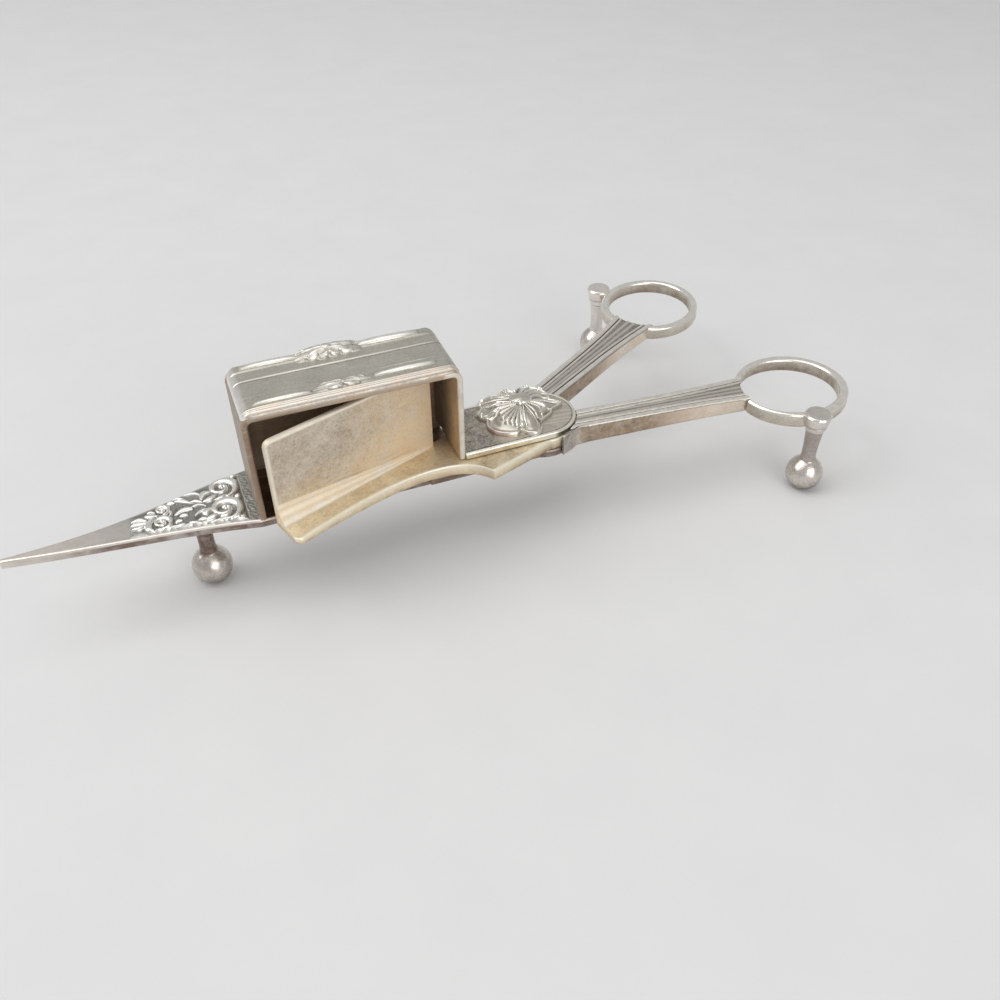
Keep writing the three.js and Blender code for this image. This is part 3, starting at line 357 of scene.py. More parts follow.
u, v = np.meshgrid(np.linspace(0, 1, 300), np.linspace(0, 1, 170), indexing="ij")
x = SOLDER_START + (RELIEF_END - SOLDER_START) * u
near_side = np.interp(x, near_edge[::-1, 0], near_edge[::-1, 1]) + BORDER
far_side = np.interp(x, far_edge[::-1, 0], far_edge[::-1, 1]) - BORDER
y = near_side + (far_side - near_side) * v
SPRAYS = [
    ((-75.2, 4.6), (-76.6, 4.6), (-77.2, 2.4), 1.0), ((-74.2, 2.9), (-75.6, 2.2), (-76.9, 1.9), 0.9),
    ((-72.0, 2.4), (-73.0, 1.8), (-74.6, 1.6), 0.75), ((-75.6, -0.9), (-77.0, -1.4), (-76.7, -2.6), 1.0),
    ((-74.7, -3.2), (-75.9, -3.6), (-76.9, -4.0), 0.95), ((-72.0, -3.6), (-73.0, -4.2), (-74.3, -4.2), 0.75),
    ((-70.4, -4.6), (-70.9, -6.3), (-73.0, -6.6), 0.9), ((-76.6, 0.4), (-78.0, 1.4), (-79.9, 1.0), 0.42),
    ((-76.4, -0.6), (-77.8, -0.9), (-79.3, -2.0), 0.36), ((-79.4, 0.8), (-81.2, 1.0), (-83.1, -0.2), 0.72),
    ((-77.2, 1.9), (-78.4, 2.9), (-79.9, 2.5), 0.62), ((-79.6, 2.7), (-81.0, 3.9), (-82.6, 4.2), 0.72),
    ((-77.4, 4.7), (-78.6, 5.6), (-80.9, 5.3), 0.62), ((-82.7, 3.9), (-83.5, 4.2), (-84.2, 3.6), 0.55),
    ((-80.4, 4.0), (-81.6, 4.9), (-83.0, 4.7), 0.45), ((-77.0, -3.7), (-77.8, -3.4), (-78.8, -3.8), 0.5),
    ((-78.3, -4.6), (-79.3, -4.3), (-80.6, -3.5), 0.55), ((-80.6, -1.0), (-81.4, -0.8), (-82.2, -1.2), 0.5),
    ((-81.9, -2.4), (-82.6, -2.2), (-83.2, -2.9), 0.5), ((-80.9, -4.5), (-82.2, -4.4), (-83.3, -4.1), 0.5),
    ((-86.6, 0.9), (-87.9, 1.2), (-89.0, 1.7), 0.85), ((-87.0, 2.1), (-87.7, 2.5), (-88.4, 2.3), 0.55),
    ((-83.8, 1.6), (-83.5, 0.6), (-84.2, -0.2), 0.45), ((-84.0, -3.0), (-84.9, -3.8), (-86.2, -3.9), 0.6)]
BUD = [((-88.9, 0.1), (-90.2, 1.0), (-91.9, 0.5), 0.75), ((-89.1, -0.6), (-90.6, -0.4), (-92.2, -0.5), 0.9),
       ((-89.2, -1.3), (-90.6, -1.9), (-92.0, -1.5), 0.75)]
BEADS = np.array([(-69.7, 1.2), (-69.6, 8.1), (-69.4, -7.0)])
edge_leaves = []
for k, at_x in enumerate(np.arange(-86.8, -68.8, 1.5)):
    root = np.array((at_x, np.interp(at_x, near_edge[::-1, 0], near_edge[::-1, 1]) + 1.15 + 0.3 * (k % 2)))
    edge_leaves.append((root + (0.9, 0.15), root, root - (0.9, 0.1), 0.5 + 0.12 * (k % 3)))
crescent = bezier((-87.2, 0.4), (-89.3, -1.0), (-89.0, -3.6), (-87.0, -4.3), 40)
swell = 0.35 + 0.5 * np.sin(np.linspace(0.3, 2.9, 40))
cast = np.maximum.reduce([
    *[scroll(x, y, centre, radius, start, 1.45, half_width, SCROLL_RISE)
      for centre, radius, start, half_width in SCROLLS],
    leaves(x, y, SPRAYS, LEAF_RISE), leaves(x, y, BUD, SCROLL_RISE),
    leaves(x, y, edge_leaves, EDGE_LEAF_RISE), rib(x, y, crescent, swell, 0.8), rib(x, y, BEADS, 0.8, 0.75)])
rim = np.minimum((RELIEF_START - x) * 1.6, np.minimum(v, 1 - v) * (far_side - near_side))
rim = np.minimum(rim, (x - RELIEF_END) * 0.8)
cast = cast * np.clip(rim / 0.6, 0, 1)
strip = np.clip((x - RELIEF_START) / 0.3, 0, 1)
crumbs = np.sin(5.1 * x + 3.7 * y + 2 * np.sin(1.9 * y)) * np.sin(4.3 * y - 2.2 * x + np.sin(2.7 * x))
crumbs = 0.08 + 0.05 * crumbs
flat = GROUND * np.clip(0.1 + rim / 1.1, 0.04, 1)
edge_fall = np.clip(np.minimum(v, 1 - v) * (far_side - near_side) / 0.4, 0.15, 1)
points, faces, walls = raised(x, y, PAN_TOP + np.where(strip > 0, crumbs * edge_fall, flat) + cast, PAN_TOP)
high = np.clip((cast - 0.22) / 0.45, 0, 1)
low = np.clip(1 - cast / 0.35, 0, 1) * np.clip(rim / 0.8, 0, 1)
cast_silver = plated("cast_silver", satin=(0.66, 0.65, 0.61), rubbed=(0.98, 0.97, 0.93),
                     tarnish=(0.19, 0.185, 0.165), warm=(0.70, 0.40, 0.33), mottle=0.35, dullness=0.30)
scrolls = piece("spike_relief", "box_lever", points, faces, cast_silver,
                wear_and_painted_light=skirted(0.85 * high, walls),
                grime_and_painted_light=skirted(np.maximum(0.55 * low, 0.42 * strip), walls))
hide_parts("spike_scrolls")


# Box wrap: one strip of plated sheet bent over three sides, so that the left wall, the roof and the right
# wall are one piece. Outside it is satin silver; inside, candle soot has browned it from the roof down,
# and painted light makes it lighter and golden near the mouth and low on the left wall.

WALL = 1.3
BEND = 2.4
ROOF_TOP = 45.3
LEAF_BOTTOM = 22.5
BACK_INSIDE = BOX_BACK - WALL
LIP_ROUND = 0.45


def tube(loops):
    """A row of closed loops joined into a skin, with a flat face at either end."""
    rows, cols = loops.shape[:2]
    ends = [np.arange(cols)[None, ::-1], (rows - 1) * cols + np.arange(cols)[None]]
    return loops.reshape(-1, 3), [grid(rows, cols, around=True), *ends]


def along(path, section_out, section_y):
    """A section carried along a path in the upright plane: out from the path's normal and back along Y."""
    step = np.gradient(path, axis=0)
    step = step / np.linalg.norm(step, axis=1)[:, None]
    out = np.stack([-step[:, 1], step[:, 0]], 1)
    spots = path[:, None, :] + out[:, None, :] * section_out[None, :, None]
    depth = np.broadcast_to(section_y, (len(path), len(section_out)))
    return tube(np.stack([spots[..., 0], depth, spots[..., 1]], -1))


def rounded_bar(width, front, back, corner, steps=6):
    """Section of a flat strip with rounded corners, centred on its width, from front to back."""
    half = width / 2 - corner
    corners = [((-half, front + corner), 180), ((half, front + corner), 270),
               ((half, back - corner), 0), ((-half, back - corner), 90)]
    return np.concatenate([arc(centre, corner, start, start + 90, steps) for centre, start in corners])


mid = BEND - WALL / 2
rise = np.linspace(PAN_TOP, ROOF_TOP - BEND, 60)
fall = np.linspace(ROOF_TOP - BEND, LEAF_BOTTOM + 0.02, 60)
roof = np.linspace(BOX_LEFT + BEND, BOX_RIGHT - BEND, 60)
wrap_path = np.concatenate([
    np.stack([np.full(60, BOX_LEFT + WALL / 2), rise], 1),
    arc((BOX_LEFT + BEND, ROOF_TOP - BEND), mid, 180, 90, 14)[1:-1],
    np.stack([roof, np.full(60, ROOF_TOP - WALL / 2)], 1),
    arc((BOX_RIGHT - BEND, ROOF_TOP - BEND), mid, 90, 0, 14)[1:-1],
    np.stack([np.full(60, BOX_RIGHT - WALL / 2), fall], 1)])
strip_back = BACK_INSIDE - 0.02
strip = rounded_bar(WALL, BOX_MOUTH, strip_back, LIP_ROUND)
between = np.linspace(BOX_MOUTH + LIP_ROUND, strip_back - LIP_ROUND, 42)[1:-1]
outer_side = np.stack([np.full(40, WALL / 2), between], 1)
inner_side = np.stack([np.full(40, -WALL / 2), between[::-1]], 1)
strip = np.concatenate([strip[:12], outer_side, strip[12:], inner_side])
points, faces = along(wrap_path, strip[:, 0], strip[:, 1])
depth_in = points[:, 1] - BOX_MOUTH
inside = np.tile(strip[:, 0] < -0.3, len(wrap_path)) & (depth_in > 0.35)
lip = np.clip(1 - depth_in / 0.8, 0, 1)
height = np.clip((points[:, 2] - PAN_TOP) / (ROOF_TOP - PAN_TOP), 0, 1)
# Painted light inside the box: lighter, golden colour near the mouth on the right wall, in a spot high on the
# left wall near the mouth, and low down on the left wall; it takes soot away and adds warm colour.
painted_light_spot = np.exp(-((depth_in - 4.5) / 4)**2 - ((points[:, 2] - 38) / 4)**2)
right_wall = points[:, 0] > BOX_RIGHT - 4
left_wall = points[:, 0] < BOX_LEFT + 1.4
painted_glow = np.where(right_wall, np.clip(1.3 - depth_in / 9, 0, 1), painted_light_spot + 0.7 * np.clip(0.6 - height, 0, 1))
box_silver = plated("box_silver", satin=(0.38, 0.335, 0.285), rubbed=(0.84, 0.79, 0.71),
                    tarnish=(0.33, 0.225, 0.155), warm=(0.80, 0.56, 0.32), mottle=0.40, dullness=0.45,
                    metal=0.55)
wrap = piece("box_strip", "box_lever", points, faces, box_silver,
             wear_and_painted_light=np.where(right_wall, np.where(inside, 0, 0.8), 0.05 * lip),
             grime_and_painted_light=np.where(inside, 0.28 + 0.45 * height - 0.5 * painted_glow, 0.75 * lip * left_wall),
             copper_and_painted_light=np.where(inside, 0.45 + 0.5 * painted_glow, 0.35 * lip))
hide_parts("box_wrap")


# Box back: the rear wall, a flat plate cut to the strip's bent outline and soldered behind it. Its outer
# face is plain satin silver and its inner face is sooted like the rest of the box, with a pool of painted
# light, lighter and golden, low at its left.

REAR_EDGE = 0.3


def quarter(distance, radius):
    """Height, up to 1, of a quarter-round edge at a distance from it."""
    return np.sqrt(np.clip(1 - (1 - np.clip(distance / radius, 0, 1))**2, 0, 1))


def stand(points, front):
    """A slab drawn flat, stood up on edge with its top towards the mouth, at front less its height."""
    return np.stack([points[:, 0], front - points[:, 2], points[:, 1]], 1)


ends_near = 0.5 - 0.5 * np.cos(np.linspace(0, np.pi, 100))
x, v = np.meshgrid(BOX_LEFT + (BOX_RIGHT - BOX_LEFT) * ends_near, ends_near, indexing="ij")
end_in = np.minimum(x - BOX_LEFT, BOX_RIGHT - x)
head_room = ROOF_TOP - BEND * (1 - quarter(end_in, BEND))
z = PAN_TOP + (head_room - PAN_TOP) * v
edge_in = np.minimum(end_in, head_room - z)
points, faces, walls = raised(x, z, WALL - REAR_EDGE * (1 - quarter(edge_in, REAR_EDGE)), 0.0)
# patch: a painted pool of light low at the left of the inner face, lighter and golden, with less soot.
patch = np.exp(-((x - BOX_LEFT - 3.5) / 4.0)**2 - ((z - PAN_TOP - 2.0) / 3.0)**2)
sooted = 0.25 + 0.3 * (z - PAN_TOP) / (ROOF_TOP - PAN_TOP)
rear = piece("box_rear", "box_lever", stand(points, BOX_BACK), faces, box_silver,
             wear_and_painted_light=skirted(0.6 * patch, walls, 1.0), grime_and_painted_light=skirted(sooted * (1 - patch), walls),
             copper_and_painted_light=skirted(0.6 + 0.4 * patch, walls))
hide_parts("box_back")


# Box top cover: a stamped cover plate that follows the roof over both rounded ends. A rolled front edge
# with fine reeds, long beads, two leaf clusters and a thin ridge line stand up from its satin field. Its
# left end is painted lighter as a highlight.

COVER_FIELD = 0.72
COVER_FRONT = BOX_MOUTH - 0.2
COVER_CORNER = 2.2
cover_left, cover_right = BOX_LEFT + 0.3, BOX_RIGHT - 0.3
CLUSTER_X = -45.1
RIDGE_LINE, FRONT_LINE = 4.1, -1.5
REED_LINES = (-7.5, -6.9, -6.3)
BACK_BORDER, FRONT_BORDER = 7.2, -5.6
BACK_CLUSTER, FRONT_CLUSTER = 8.6, -4.2
LONG_BEADS = [(0.5, -4.6, 0.5, -63.5, -51.5), (0.55, -3.6, 0.6, -38.8, -25.2),
              (0.5, 8.9, 0.85, -63.8, -50.5), (0.6, 8.9, 1.05, -40.0, -25.0)]
BACK_LEAVES = [((0.3, 1.2), (2.2, 1.9), (4.6, 1.0), 0.75), ((0.8, 0.2), (2.8, 0.6), (6.8, -0.3), 0.7),
               ((0.6, -0.8), (2.4, -1.2), (4.4, -1.7), 0.65), ((2.6, 1.5), (3.6, 1.9), (5.6, 1.4), 0.5),
               ((2.4, -1.9), (3.4, -2.4), (5.2, -2.1), 0.5), ((0.2, -1.8), (1.0, -2.7), (2.2, -2.6), 0.5),
               ((4.4, 0.5), (5.4, 0.9), (6.6, 0.6), 0.4)]
FRONT_LEAVES = [((0.2, 0.5), (1.8, 1.1), (3.7, 0.6), 0.55), ((0.6, -0.2), (2.4, 0.0), (5.9, -0.3), 0.5),
                ((0.3, -0.8), (1.6, -1.3), (3.3, -1.1), 0.5), ((2.2, 0.9), (3.2, 1.2), (4.6, 0.6), 0.4)]


def lens(x, start, end):
    """1 along the middle of a stretch, falling to 0 in a round taper at each end."""
    share = np.clip((x - start) / (end - start), 0, 1)
    return np.sqrt(np.clip(np.sin(np.pi * share), 0, None))


def ridge(y, middle, half_width):
    """Half-round section across a line."""
    return np.sqrt(np.clip(1 - ((y - middle) / half_width)**2, 0, None))


def capped(x, y, top, under):
    """A grid of heights over a foot that changes only from row to row: the grid, a wall along its first and
    last columns, a ruled underside and a flat face at either end."""
    rows, cols = x.shape
    upper = np.stack([x, y, top], -1).reshape(-1, 3)
    front = np.stack([x[:, 0], y[:, 0], under], -1)
    back = np.stack([x[:, -1], y[:, -1], under], -1)
    row = np.arange(rows - 1)
    low, high = rows * cols + row, rows * cols + rows + row
    first, last = row * cols, row * cols + cols - 1
    walls = [np.stack([first, first + cols, low + 1, low], 1),
             np.stack([last, high, high + 1, last + cols], 1),
             np.stack([low, low + 1, high + 1, high], 1)]
    near_end = np.concatenate([np.arange(cols)[::-1], [rows * cols, rows * cols + rows]])
    far_end = np.concatenate([(rows - 1) * cols + np.arange(cols),
                              [rows * cols + 2 * rows - 1, rows * cols + rows - 1]])
    faces = [grid(rows, cols), *walls, near_end[None], far_end[None]]
    return np.concatenate([upper, front, back]), faces, 2 * rows


run = np.linspace(0, 1, 400)
run = cover_left + (cover_right - cover_left) * (run - 0.35 * np.sin(2 * np.pi * run) / (2 * np.pi))
x, v = np.meshgrid(run, np.linspace(0, 1, 190), indexing="ij")
end_in = np.minimum(x - cover_left, cover_right - x)
pull = COVER_CORNER * (1 - quarter(end_in, COVER_CORNER))
y = COVER_FRONT + pull + (BOX_BACK - COVER_FRONT - 2 * pull) * v
front_in, back_in = y - COVER_FRONT - pull, BOX_BACK - pull - y
under = ROOF_TOP - BEND * (1 - quarter(np.minimum(x - BOX_LEFT, BOX_RIGHT - x), BEND))
beads = np.maximum.reduce([tall * ridge(y, middle, half_width) * lens(x, start, end)
                           for tall, middle, half_width, start, end in LONG_BEADS])
lines = 0.16 * ridge(y, RIDGE_LINE, 0.34) + 0.07 * ridge(y, FRONT_LINE, 0.22) * lens(x, -37, -23.5)
reeds = 0.15 * sum(ridge(y, middle, 0.27) for middle in REED_LINES) * quarter(end_in, 3.0)
border = 0.18 * np.clip((y - BACK_BORDER) / 0.5, 0, 1) + 0.22 * np.clip((FRONT_BORDER - y) / 0.5, 0, 1)
dome = 1.05 * np.clip(1 - ((x - CLUSTER_X) / 7.0)**2, 0, 1)**0.8 * ridge(y, BACK_CLUSTER, 2.2)
low_dome = 0.42 * np.clip(1 - ((x - CLUSTER_X) / 6.4)**2, 0, 1) * ridge(y, -4.3, 1.2)
foliage = np.zeros_like(x)
for hand in (1, -1):
    for cluster, middle, squeeze, tall in [(BACK_LEAVES, 8.5, 0.8, 0.5),
                                           (FRONT_LEAVES, FRONT_CLUSTER, 1.0, 0.48)]:
        for start, bend, end, width in cluster:
            at = [np.array((CLUSTER_X + hand * px, middle + squeeze * py)) for px, py in (start, bend, end)]
            foliage = np.maximum(foliage, leaf(x, y, *at, width, tall))
for spot_y, radius, tall in [(BACK_CLUSTER, 1.1, 0.6), (9.6, 0.6, 0.5), (FRONT_CLUSTER, 0.65, 0.4)]:
    foliage = np.maximum(foliage, rib(x, y, np.array([(CLUSTER_X, spot_y)]), radius, tall))
relief = np.maximum(np.maximum(beads, foliage + dome + low_dome), lines) + reeds + border
roll = np.minimum.reduce([quarter(front_in, 1.5), quarter(back_in, 1.2), 0.3 + 0.7 * quarter(end_in, 5.2)])
points, faces, walls = capped(x, y, under + 0.05 + (COVER_FIELD + relief - 0.05) * roll, under[:, 0])
crest = np.clip((beads - 0.12) / 0.25, 0, 1) + 0.35 * np.clip(lines / 0.14, 0, 1) * (0.4 + lens(x, -60, -34))
specks = np.clip((foliage - 0.28) / 0.16, 0, 1) * (0.6 + 0.4 * np.sin(2.3 * x + 1.7 * y))
band = np.clip((-5.5 - y) / 0.4, 0, 1)
reed_tops = 0.2 * band + 0.6 * np.clip(reeds / 0.12 - 0.5, 0, 1)
# left_rim: the cover's left end painted lighter as a highlight.
left_rim = np.clip(1.4 - (x - cover_left) / 1.3, 0, 1)
high = np.maximum.reduce([crest, specks, reed_tops, left_rim])
outlines = np.clip(beads / 0.05, 0, 1) * np.clip(1 - beads / 0.16, 0, 1)
outlines = outlines + 0.6 * np.exp(-((y - 3.55) / 0.2)**2)
low = 0.75 * np.clip(foliage / 0.1, 0, 1) * np.clip(1 - foliage / 0.3, 0, 1) + 0.45 * (reeds < 0.04) * band
low = np.maximum(low, 0.7 * outlines)
cover_silver = plated("cover_silver", satin=(0.66, 0.635, 0.56), rubbed=(0.97, 0.95, 0.90),
                      tarnish=(0.19, 0.17, 0.14), warm=(0.94, 0.72, 0.54), mottle=0.36, dullness=0.34,
                      relief=0.04)
cover = piece("box_cover", "box_lever", points, faces, cover_silver, wear_and_painted_light=skirted(high, walls, 0.4),
              grime_and_painted_light=skirted(low, walls), copper_and_painted_light=skirted(0.75 * band, walls, 0.75))
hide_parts("box_top_cover")


# Hinge top plate: the upper hinge leaf, soldered to the box's right wall, with a round end over the pivot.
# A line is cut just inside its rubbed rim; its face is hatched near the box and scored at the round end.

LEAF_TOP = 23.9
LEAF_BEVEL = 0.45
LINE_IN = 0.85
HATCH_FROM, HATCH_RUN = -10.5, 4
SCORES = [((1.8, -0.9), (7.3, -1.7)), ((2.2, -2.8), (7.2, -3.1)), ((-0.9, -4.6), (5.3, -5.4)),
          ((2.4, 1.4), (7.4, 0.6)), ((1.0, -3.9), (6.4, -4.4))]
round_end = HUB_RADIUS * np.sin(np.linspace(0, 0.997 * np.pi / 2, 70))
run = np.concatenate([np.linspace(BOX_RIGHT, 0, 150)[:-1], round_end])
x, s = np.meshgrid(run, np.linspace(-1, 1, 151), indexing="ij")
y = np.sqrt(HUB_RADIUS**2 - np.clip(x, 0, None)**2) * np.sin(np.pi / 2 * s)
edge_in = HUB_RADIUS - np.hypot(np.clip(x, 0, None), y)
groove = np.exp(-((edge_in - LINE_IN) / 0.13)**2)
scores = np.zeros_like(x)
for start, end in SCORES:
    path = bezier(start, start, end, end, 40)
    scores = np.maximum(scores, rib(x, y, path, 0.22, 1.0))
wander = np.sin(7.3 * x + 2.4 * np.sin(3.1 * y)) * np.sin(8.9 * y + 1.9 * np.sin(2.7 * x) + 1.3 * x)
hatch = np.clip((HATCH_FROM - x) / HATCH_RUN, 0, 1) * np.clip(0.45 + 0.75 * wander, 0, 1)
top = LEAF_TOP - LEAF_BEVEL * (1 - quarter(edge_in, LEAF_BEVEL))
top = top - 0.1 * groove - 0.05 * scores - 0.07 * hatch
points, faces, walls = raised(x, y, top, LEAF_BOTTOM)
rim = np.clip(1.3 - np.abs(edge_in - 0.3) / 0.45, 0, 1)
by_box = 0.2 * np.clip(-(x + 12) / 3, 0, 1)
leaf_silver = plated("leaf_silver", satin=(0.74, 0.68, 0.585), rubbed=(0.98, 0.95, 0.84),
                     tarnish=(0.13, 0.12, 0.10), warm=(0.74, 0.62, 0.44), mottle=0.34, dullness=0.32,
                     relief=0.03)
upper_leaf = piece("hinge_leaf", "box_lever", points, faces, leaf_silver,
                   wear_and_painted_light=skirted(np.maximum(rim, 0.35 * scores), walls, 0.7),
                   grime_and_painted_light=skirted(0.8 * groove + 0.42 * hatch + by_box, walls, 0.1),
                   copper_and_painted_light=skirted(np.zeros_like(x), walls, 0.5))
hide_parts("hinge_top_plate")


# Pivot shell: a cast shell soldered over the rivet. Flutes fan out from a knob under a smooth collar towards
# two broad hollow lobes on the mouth side, and curled leaves run out around the rest of its rim.

SHELL_AT = np.array([-4.3, 1.6])
SHELL_KNOB = np.array([-4.4, 1.3])
SHELL_FOOT = LEAF_TOP - 0.05
COLLAR_AT, COLLAR_RADIUS = (-3.4, 3.7), 2.6
SHELL_RIM = np.array([
    (6.3, 0.6), (4.1, 2.9), (4.6, 5.4), (4.1, 7.4), (1.9, 9.6), (-0.7, 10.0), (-2.5, 8.8), (-4.1, 10.4),
    (-6.3, 9.9), (-7.4, 8.6), (-8.2, 9.7), (-9.8, 9.2), (-12.2, 8.0), (-13.0, 7.3), (-12.4, 5.6),
    (-14.4, 3.6), (-14.2, 2.2), (-12.9, 0.9), (-13.7, -1.6), (-12.9, -4.1), (-10.4, -5.9), (-8.0, -6.5),
    (-6.6, -5.3), (-6.0, -7.2), (-4.2, -8.0), (-2.5, -7.5), (-1.6, -5.9), (-1.5, -3.9), (0.6, -3.0),
    (2.4, -1.9), (3.2, -0.6)])
FLUTES = [(-8.6, 4.6), (-9.2, 3.5), (-9.4, 2.2), (-9.5, 0.6), (-9.6, -1.2), (-9.2, -2.6), (-8.2, -3.2),
          (-7.3, -3.9), (-6.3, -4.4), (-5.4, -4.6)]
SHELL_LEAVES = [
    ((-3.9, 0.6), (-5.0, -3.0), (-5.9, -7.0), 0.3), ((-3.4, 0.4), (-2.6, -2.6), (-2.3, -5.2), 0.42),
    ((-3.0, 0.6), (-1.6, -1.6), (-1.6, -4.6), 0.4), ((-2.2, 1.0), (0.2, -0.6), (-0.6, -3.2), 0.5),
    ((-1.6, 1.4), (1.2, 0.6), (2.4, -1.6), 0.5), ((-1.2, 2.0), (2.2, 2.4), (5.6, 0.8), 0.6),
    ((-1.4, 3.4), (1.6, 4.4), (3.8, 3.2), 0.5), ((-1.4, 4.4), (1.4, 6.0), (4.0, 5.4), 0.55),
    ((-1.8, 5.2), (0.6, 7.6), (3.6, 7.2), 0.6), ((-2.4, 5.8), (-1.0, 8.4), (1.4, 9.3), 0.6),
    ((-3.2, 6.0), (-3.0, 8.4), (-1.0, 9.5), 0.5), ((-4.0, 6.0), (-4.6, 8.4), (-4.2, 9.9), 0.55),
    ((-4.8, 5.8), (-6.2, 7.6), (-6.2, 9.4), 0.55), ((-5.4, 5.2), (-7.6, 6.8), (-8.6, 9.0), 0.5),
    ((-5.9, 4.6), (-8.6, 5.8), (-12.2, 7.4), 0.55), ((-8.0, 4.0), (-10.2, 4.4), (-12.0, 5.6), 0.42),
    ((-7.6, 3.4), (-10.6, 1.6), (-14.0, 2.8), 0.5), ((-9.2, 1.6), (-11.2, 0.9), (-13.0, 1.4), 0.42)]
spoke = SHELL_RIM - SHELL_AT
spoke_angle = np.arctan2(spoke[:, 1], spoke[:, 0])
theta = np.linspace(-np.pi, np.pi, 480, endpoint=False)
rim = np.interp(theta, spoke_angle, np.hypot(spoke[:, 0], spoke[:, 1]), period=2 * np.pi)
soften = np.exp(-(np.arange(-6, 7) / 2.6)**2)
rim = np.convolve(np.concatenate([rim[-6:], rim, rim[:6]]), soften / soften.sum(), mode="valid")
share = np.concatenate([np.linspace(0.03, 0.88, 92), np.linspace(0.89, 1, 18)])
u, angle = np.meshgrid(share, theta, indexing="ij")
x = SHELL_AT[0] + u * rim * np.cos(angle)
y = SHELL_AT[1] + u * rim * np.sin(angle)
mouth_side = np.clip(np.cos(angle + np.radians(115)) * 1.6 + 0.2, 0, 1)
cone = 0.62 + 2.2 * (1 - u**1.25)
hollow = (0.35 + 0.35 * mouth_side) * np.exp(-((u - 0.80) / 0.12)**2)
lip = 0.34 * np.exp(-((u - 0.945) / 0.04)**2)
shaped = np.zeros_like(x)
for end in FLUTES:
    path = SHELL_KNOB + np.linspace(0.2, 1, 26)[:, None] * (np.array(end) - SHELL_KNOB)
    shaped = np.maximum(shaped, rib(x, y, path, np.linspace(0.2, 0.5, 26), np.linspace(0.35, 0.6, 26)))
shaped = np.maximum(shaped, leaves(x, y, SHELL_LEAVES, 0.55))
for centre, radius, start in [((-4.6, 9.4), 0.95, 20), ((-11.7, 7.2), 0.9, 40), ((-13.2, 2.7), 0.8, 60),
                              ((0.8, 9.2), 0.85, 10), ((3.4, 7.0), 0.75, -20)]:
    shaped = np.maximum(shaped, scroll(x, y, centre, radius, start, 1.2, 0.4, 0.6))
disc = np.hypot(x - COLLAR_AT[0], y - COLLAR_AT[1])
collar_dome = 1.1 * np.sqrt(np.clip(1 - (disc / COLLAR_RADIUS)**2, 0, None))
crease = rib(x, y, arc(COLLAR_AT, COLLAR_RADIUS, 190, 350, 40), 0.34, 0.7)
bud = rib(x, y, SHELL_KNOB[None], 0.75, 0.9)
shaped = np.maximum.reduce([shaped, collar_dome, crease, bud])
fade = np.clip((1 - u) / 0.07, 0, 1)
top = LEAF_TOP + (cone - hollow + lip) * quarter((1 - u) * rim, 0.35)**0.8 + shaped * fade
rows, cols = x.shape
foot = np.stack([x[-1], y[-1], np.full(cols, SHELL_FOOT)], 1)
points = np.concatenate([np.stack([x, y, top], -1).reshape(-1, 3), foot, [[*SHELL_AT, top[0].mean()]]])
ring = np.arange(cols)
tip = np.full(cols, rows * cols + cols)
faces = [grid(rows + 1, cols, around=True), np.stack([np.roll(ring, -1), ring, tip], 1),
         rows * cols + ring[None]]
bright = 0.9 * np.clip((shaped - 0.25) / 0.4, 0, 1) * (disc > COLLAR_RADIUS)
bright = bright + 0.85 * np.clip(lip / 0.34, 0, 1)**2
bright = np.maximum(bright, 0.9 * np.clip((np.maximum(crease, bud) - 0.3) / 0.2, 0, 1))
dark = np.clip(1 - shaped / 0.3, 0, 1) * np.clip(1 - lip / 0.2, 0, 1) * np.clip(1.2 - disc / 9, 0, 1)
reddened = 0.9 * np.exp(-((np.degrees(angle) + 142) / 20)**2) * np.clip((u - 0.8) / 0.1, 0, 1)
shell_silver = plated("shell_silver", satin=(0.72, 0.68, 0.60), rubbed=(0.98, 0.97, 0.93),
                      tarnish=(0.15, 0.14, 0.12), warm=(0.72, 0.40, 0.34), mottle=0.22, dullness=0.26)
shell = piece("shell", "box_lever", points, faces, shell_silver,
              wear_and_painted_light=np.concatenate([(bright * (1 - 0.7 * reddened)).ravel(), np.zeros(cols + 1)]),
              grime_and_painted_light=np.concatenate([0.42 * dark.ravel(), np.full(cols, 0.8), [0.0]]),
              copper_and_painted_light=np.concatenate([reddened.ravel(), np.zeros(cols + 1)]))
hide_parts("pivot_shell")


# Rivet and washer: the turned pin that both levers swing on, headed over a washer under the lower leaf
# and let into the shell above. Only their undersides are ever seen.

RIVET_RADIUS = 1.8
HEAD_RADIUS, HEAD_FOOT = 3.0, 16.0
WASHER_RADIUS, WASHER_FOOT = 3.8, 17.0
RIVET_TOP = LEAF_TOP + 1.4


def turned(profile, x=0.0, y=0.0, steps=72):
    """A profile of radius and height turned about an upright line, from one end on the axis to the other."""
    radius, height = np.array(profile, float).T
    bearing = np.linspace(0, 2 * np.pi, steps, endpoint=False)
    ring = np.stack([x + radius[:, None] * np.cos(bearing), y + radius[:, None] * np.sin(bearing),
                     np.broadcast_to(height[:, None], (len(radius), steps))], -1)
    return tube(ring)


def rounded_profile(corners, radius, steps=5):
    """A profile through corners of radius and height, with each inner corner cut by a small round."""
    spots = np.array(corners, float)
    out = [spots[:1]]
    for before, here, after in zip(spots[:-2], spots[1:-1], spots[2:]):
        to_before, to_after = np.linalg.norm(before - here), np.linalg.norm(after - here)
        first = here + (before - here) / to_before * min(radius, 0.45 * to_before)
        last = here + (after - here) / to_after * min(radius, 0.45 * to_after)
        out.append(bezier(first, here, here, last, steps))
    return np.concatenate([*out, spots[-1:]])


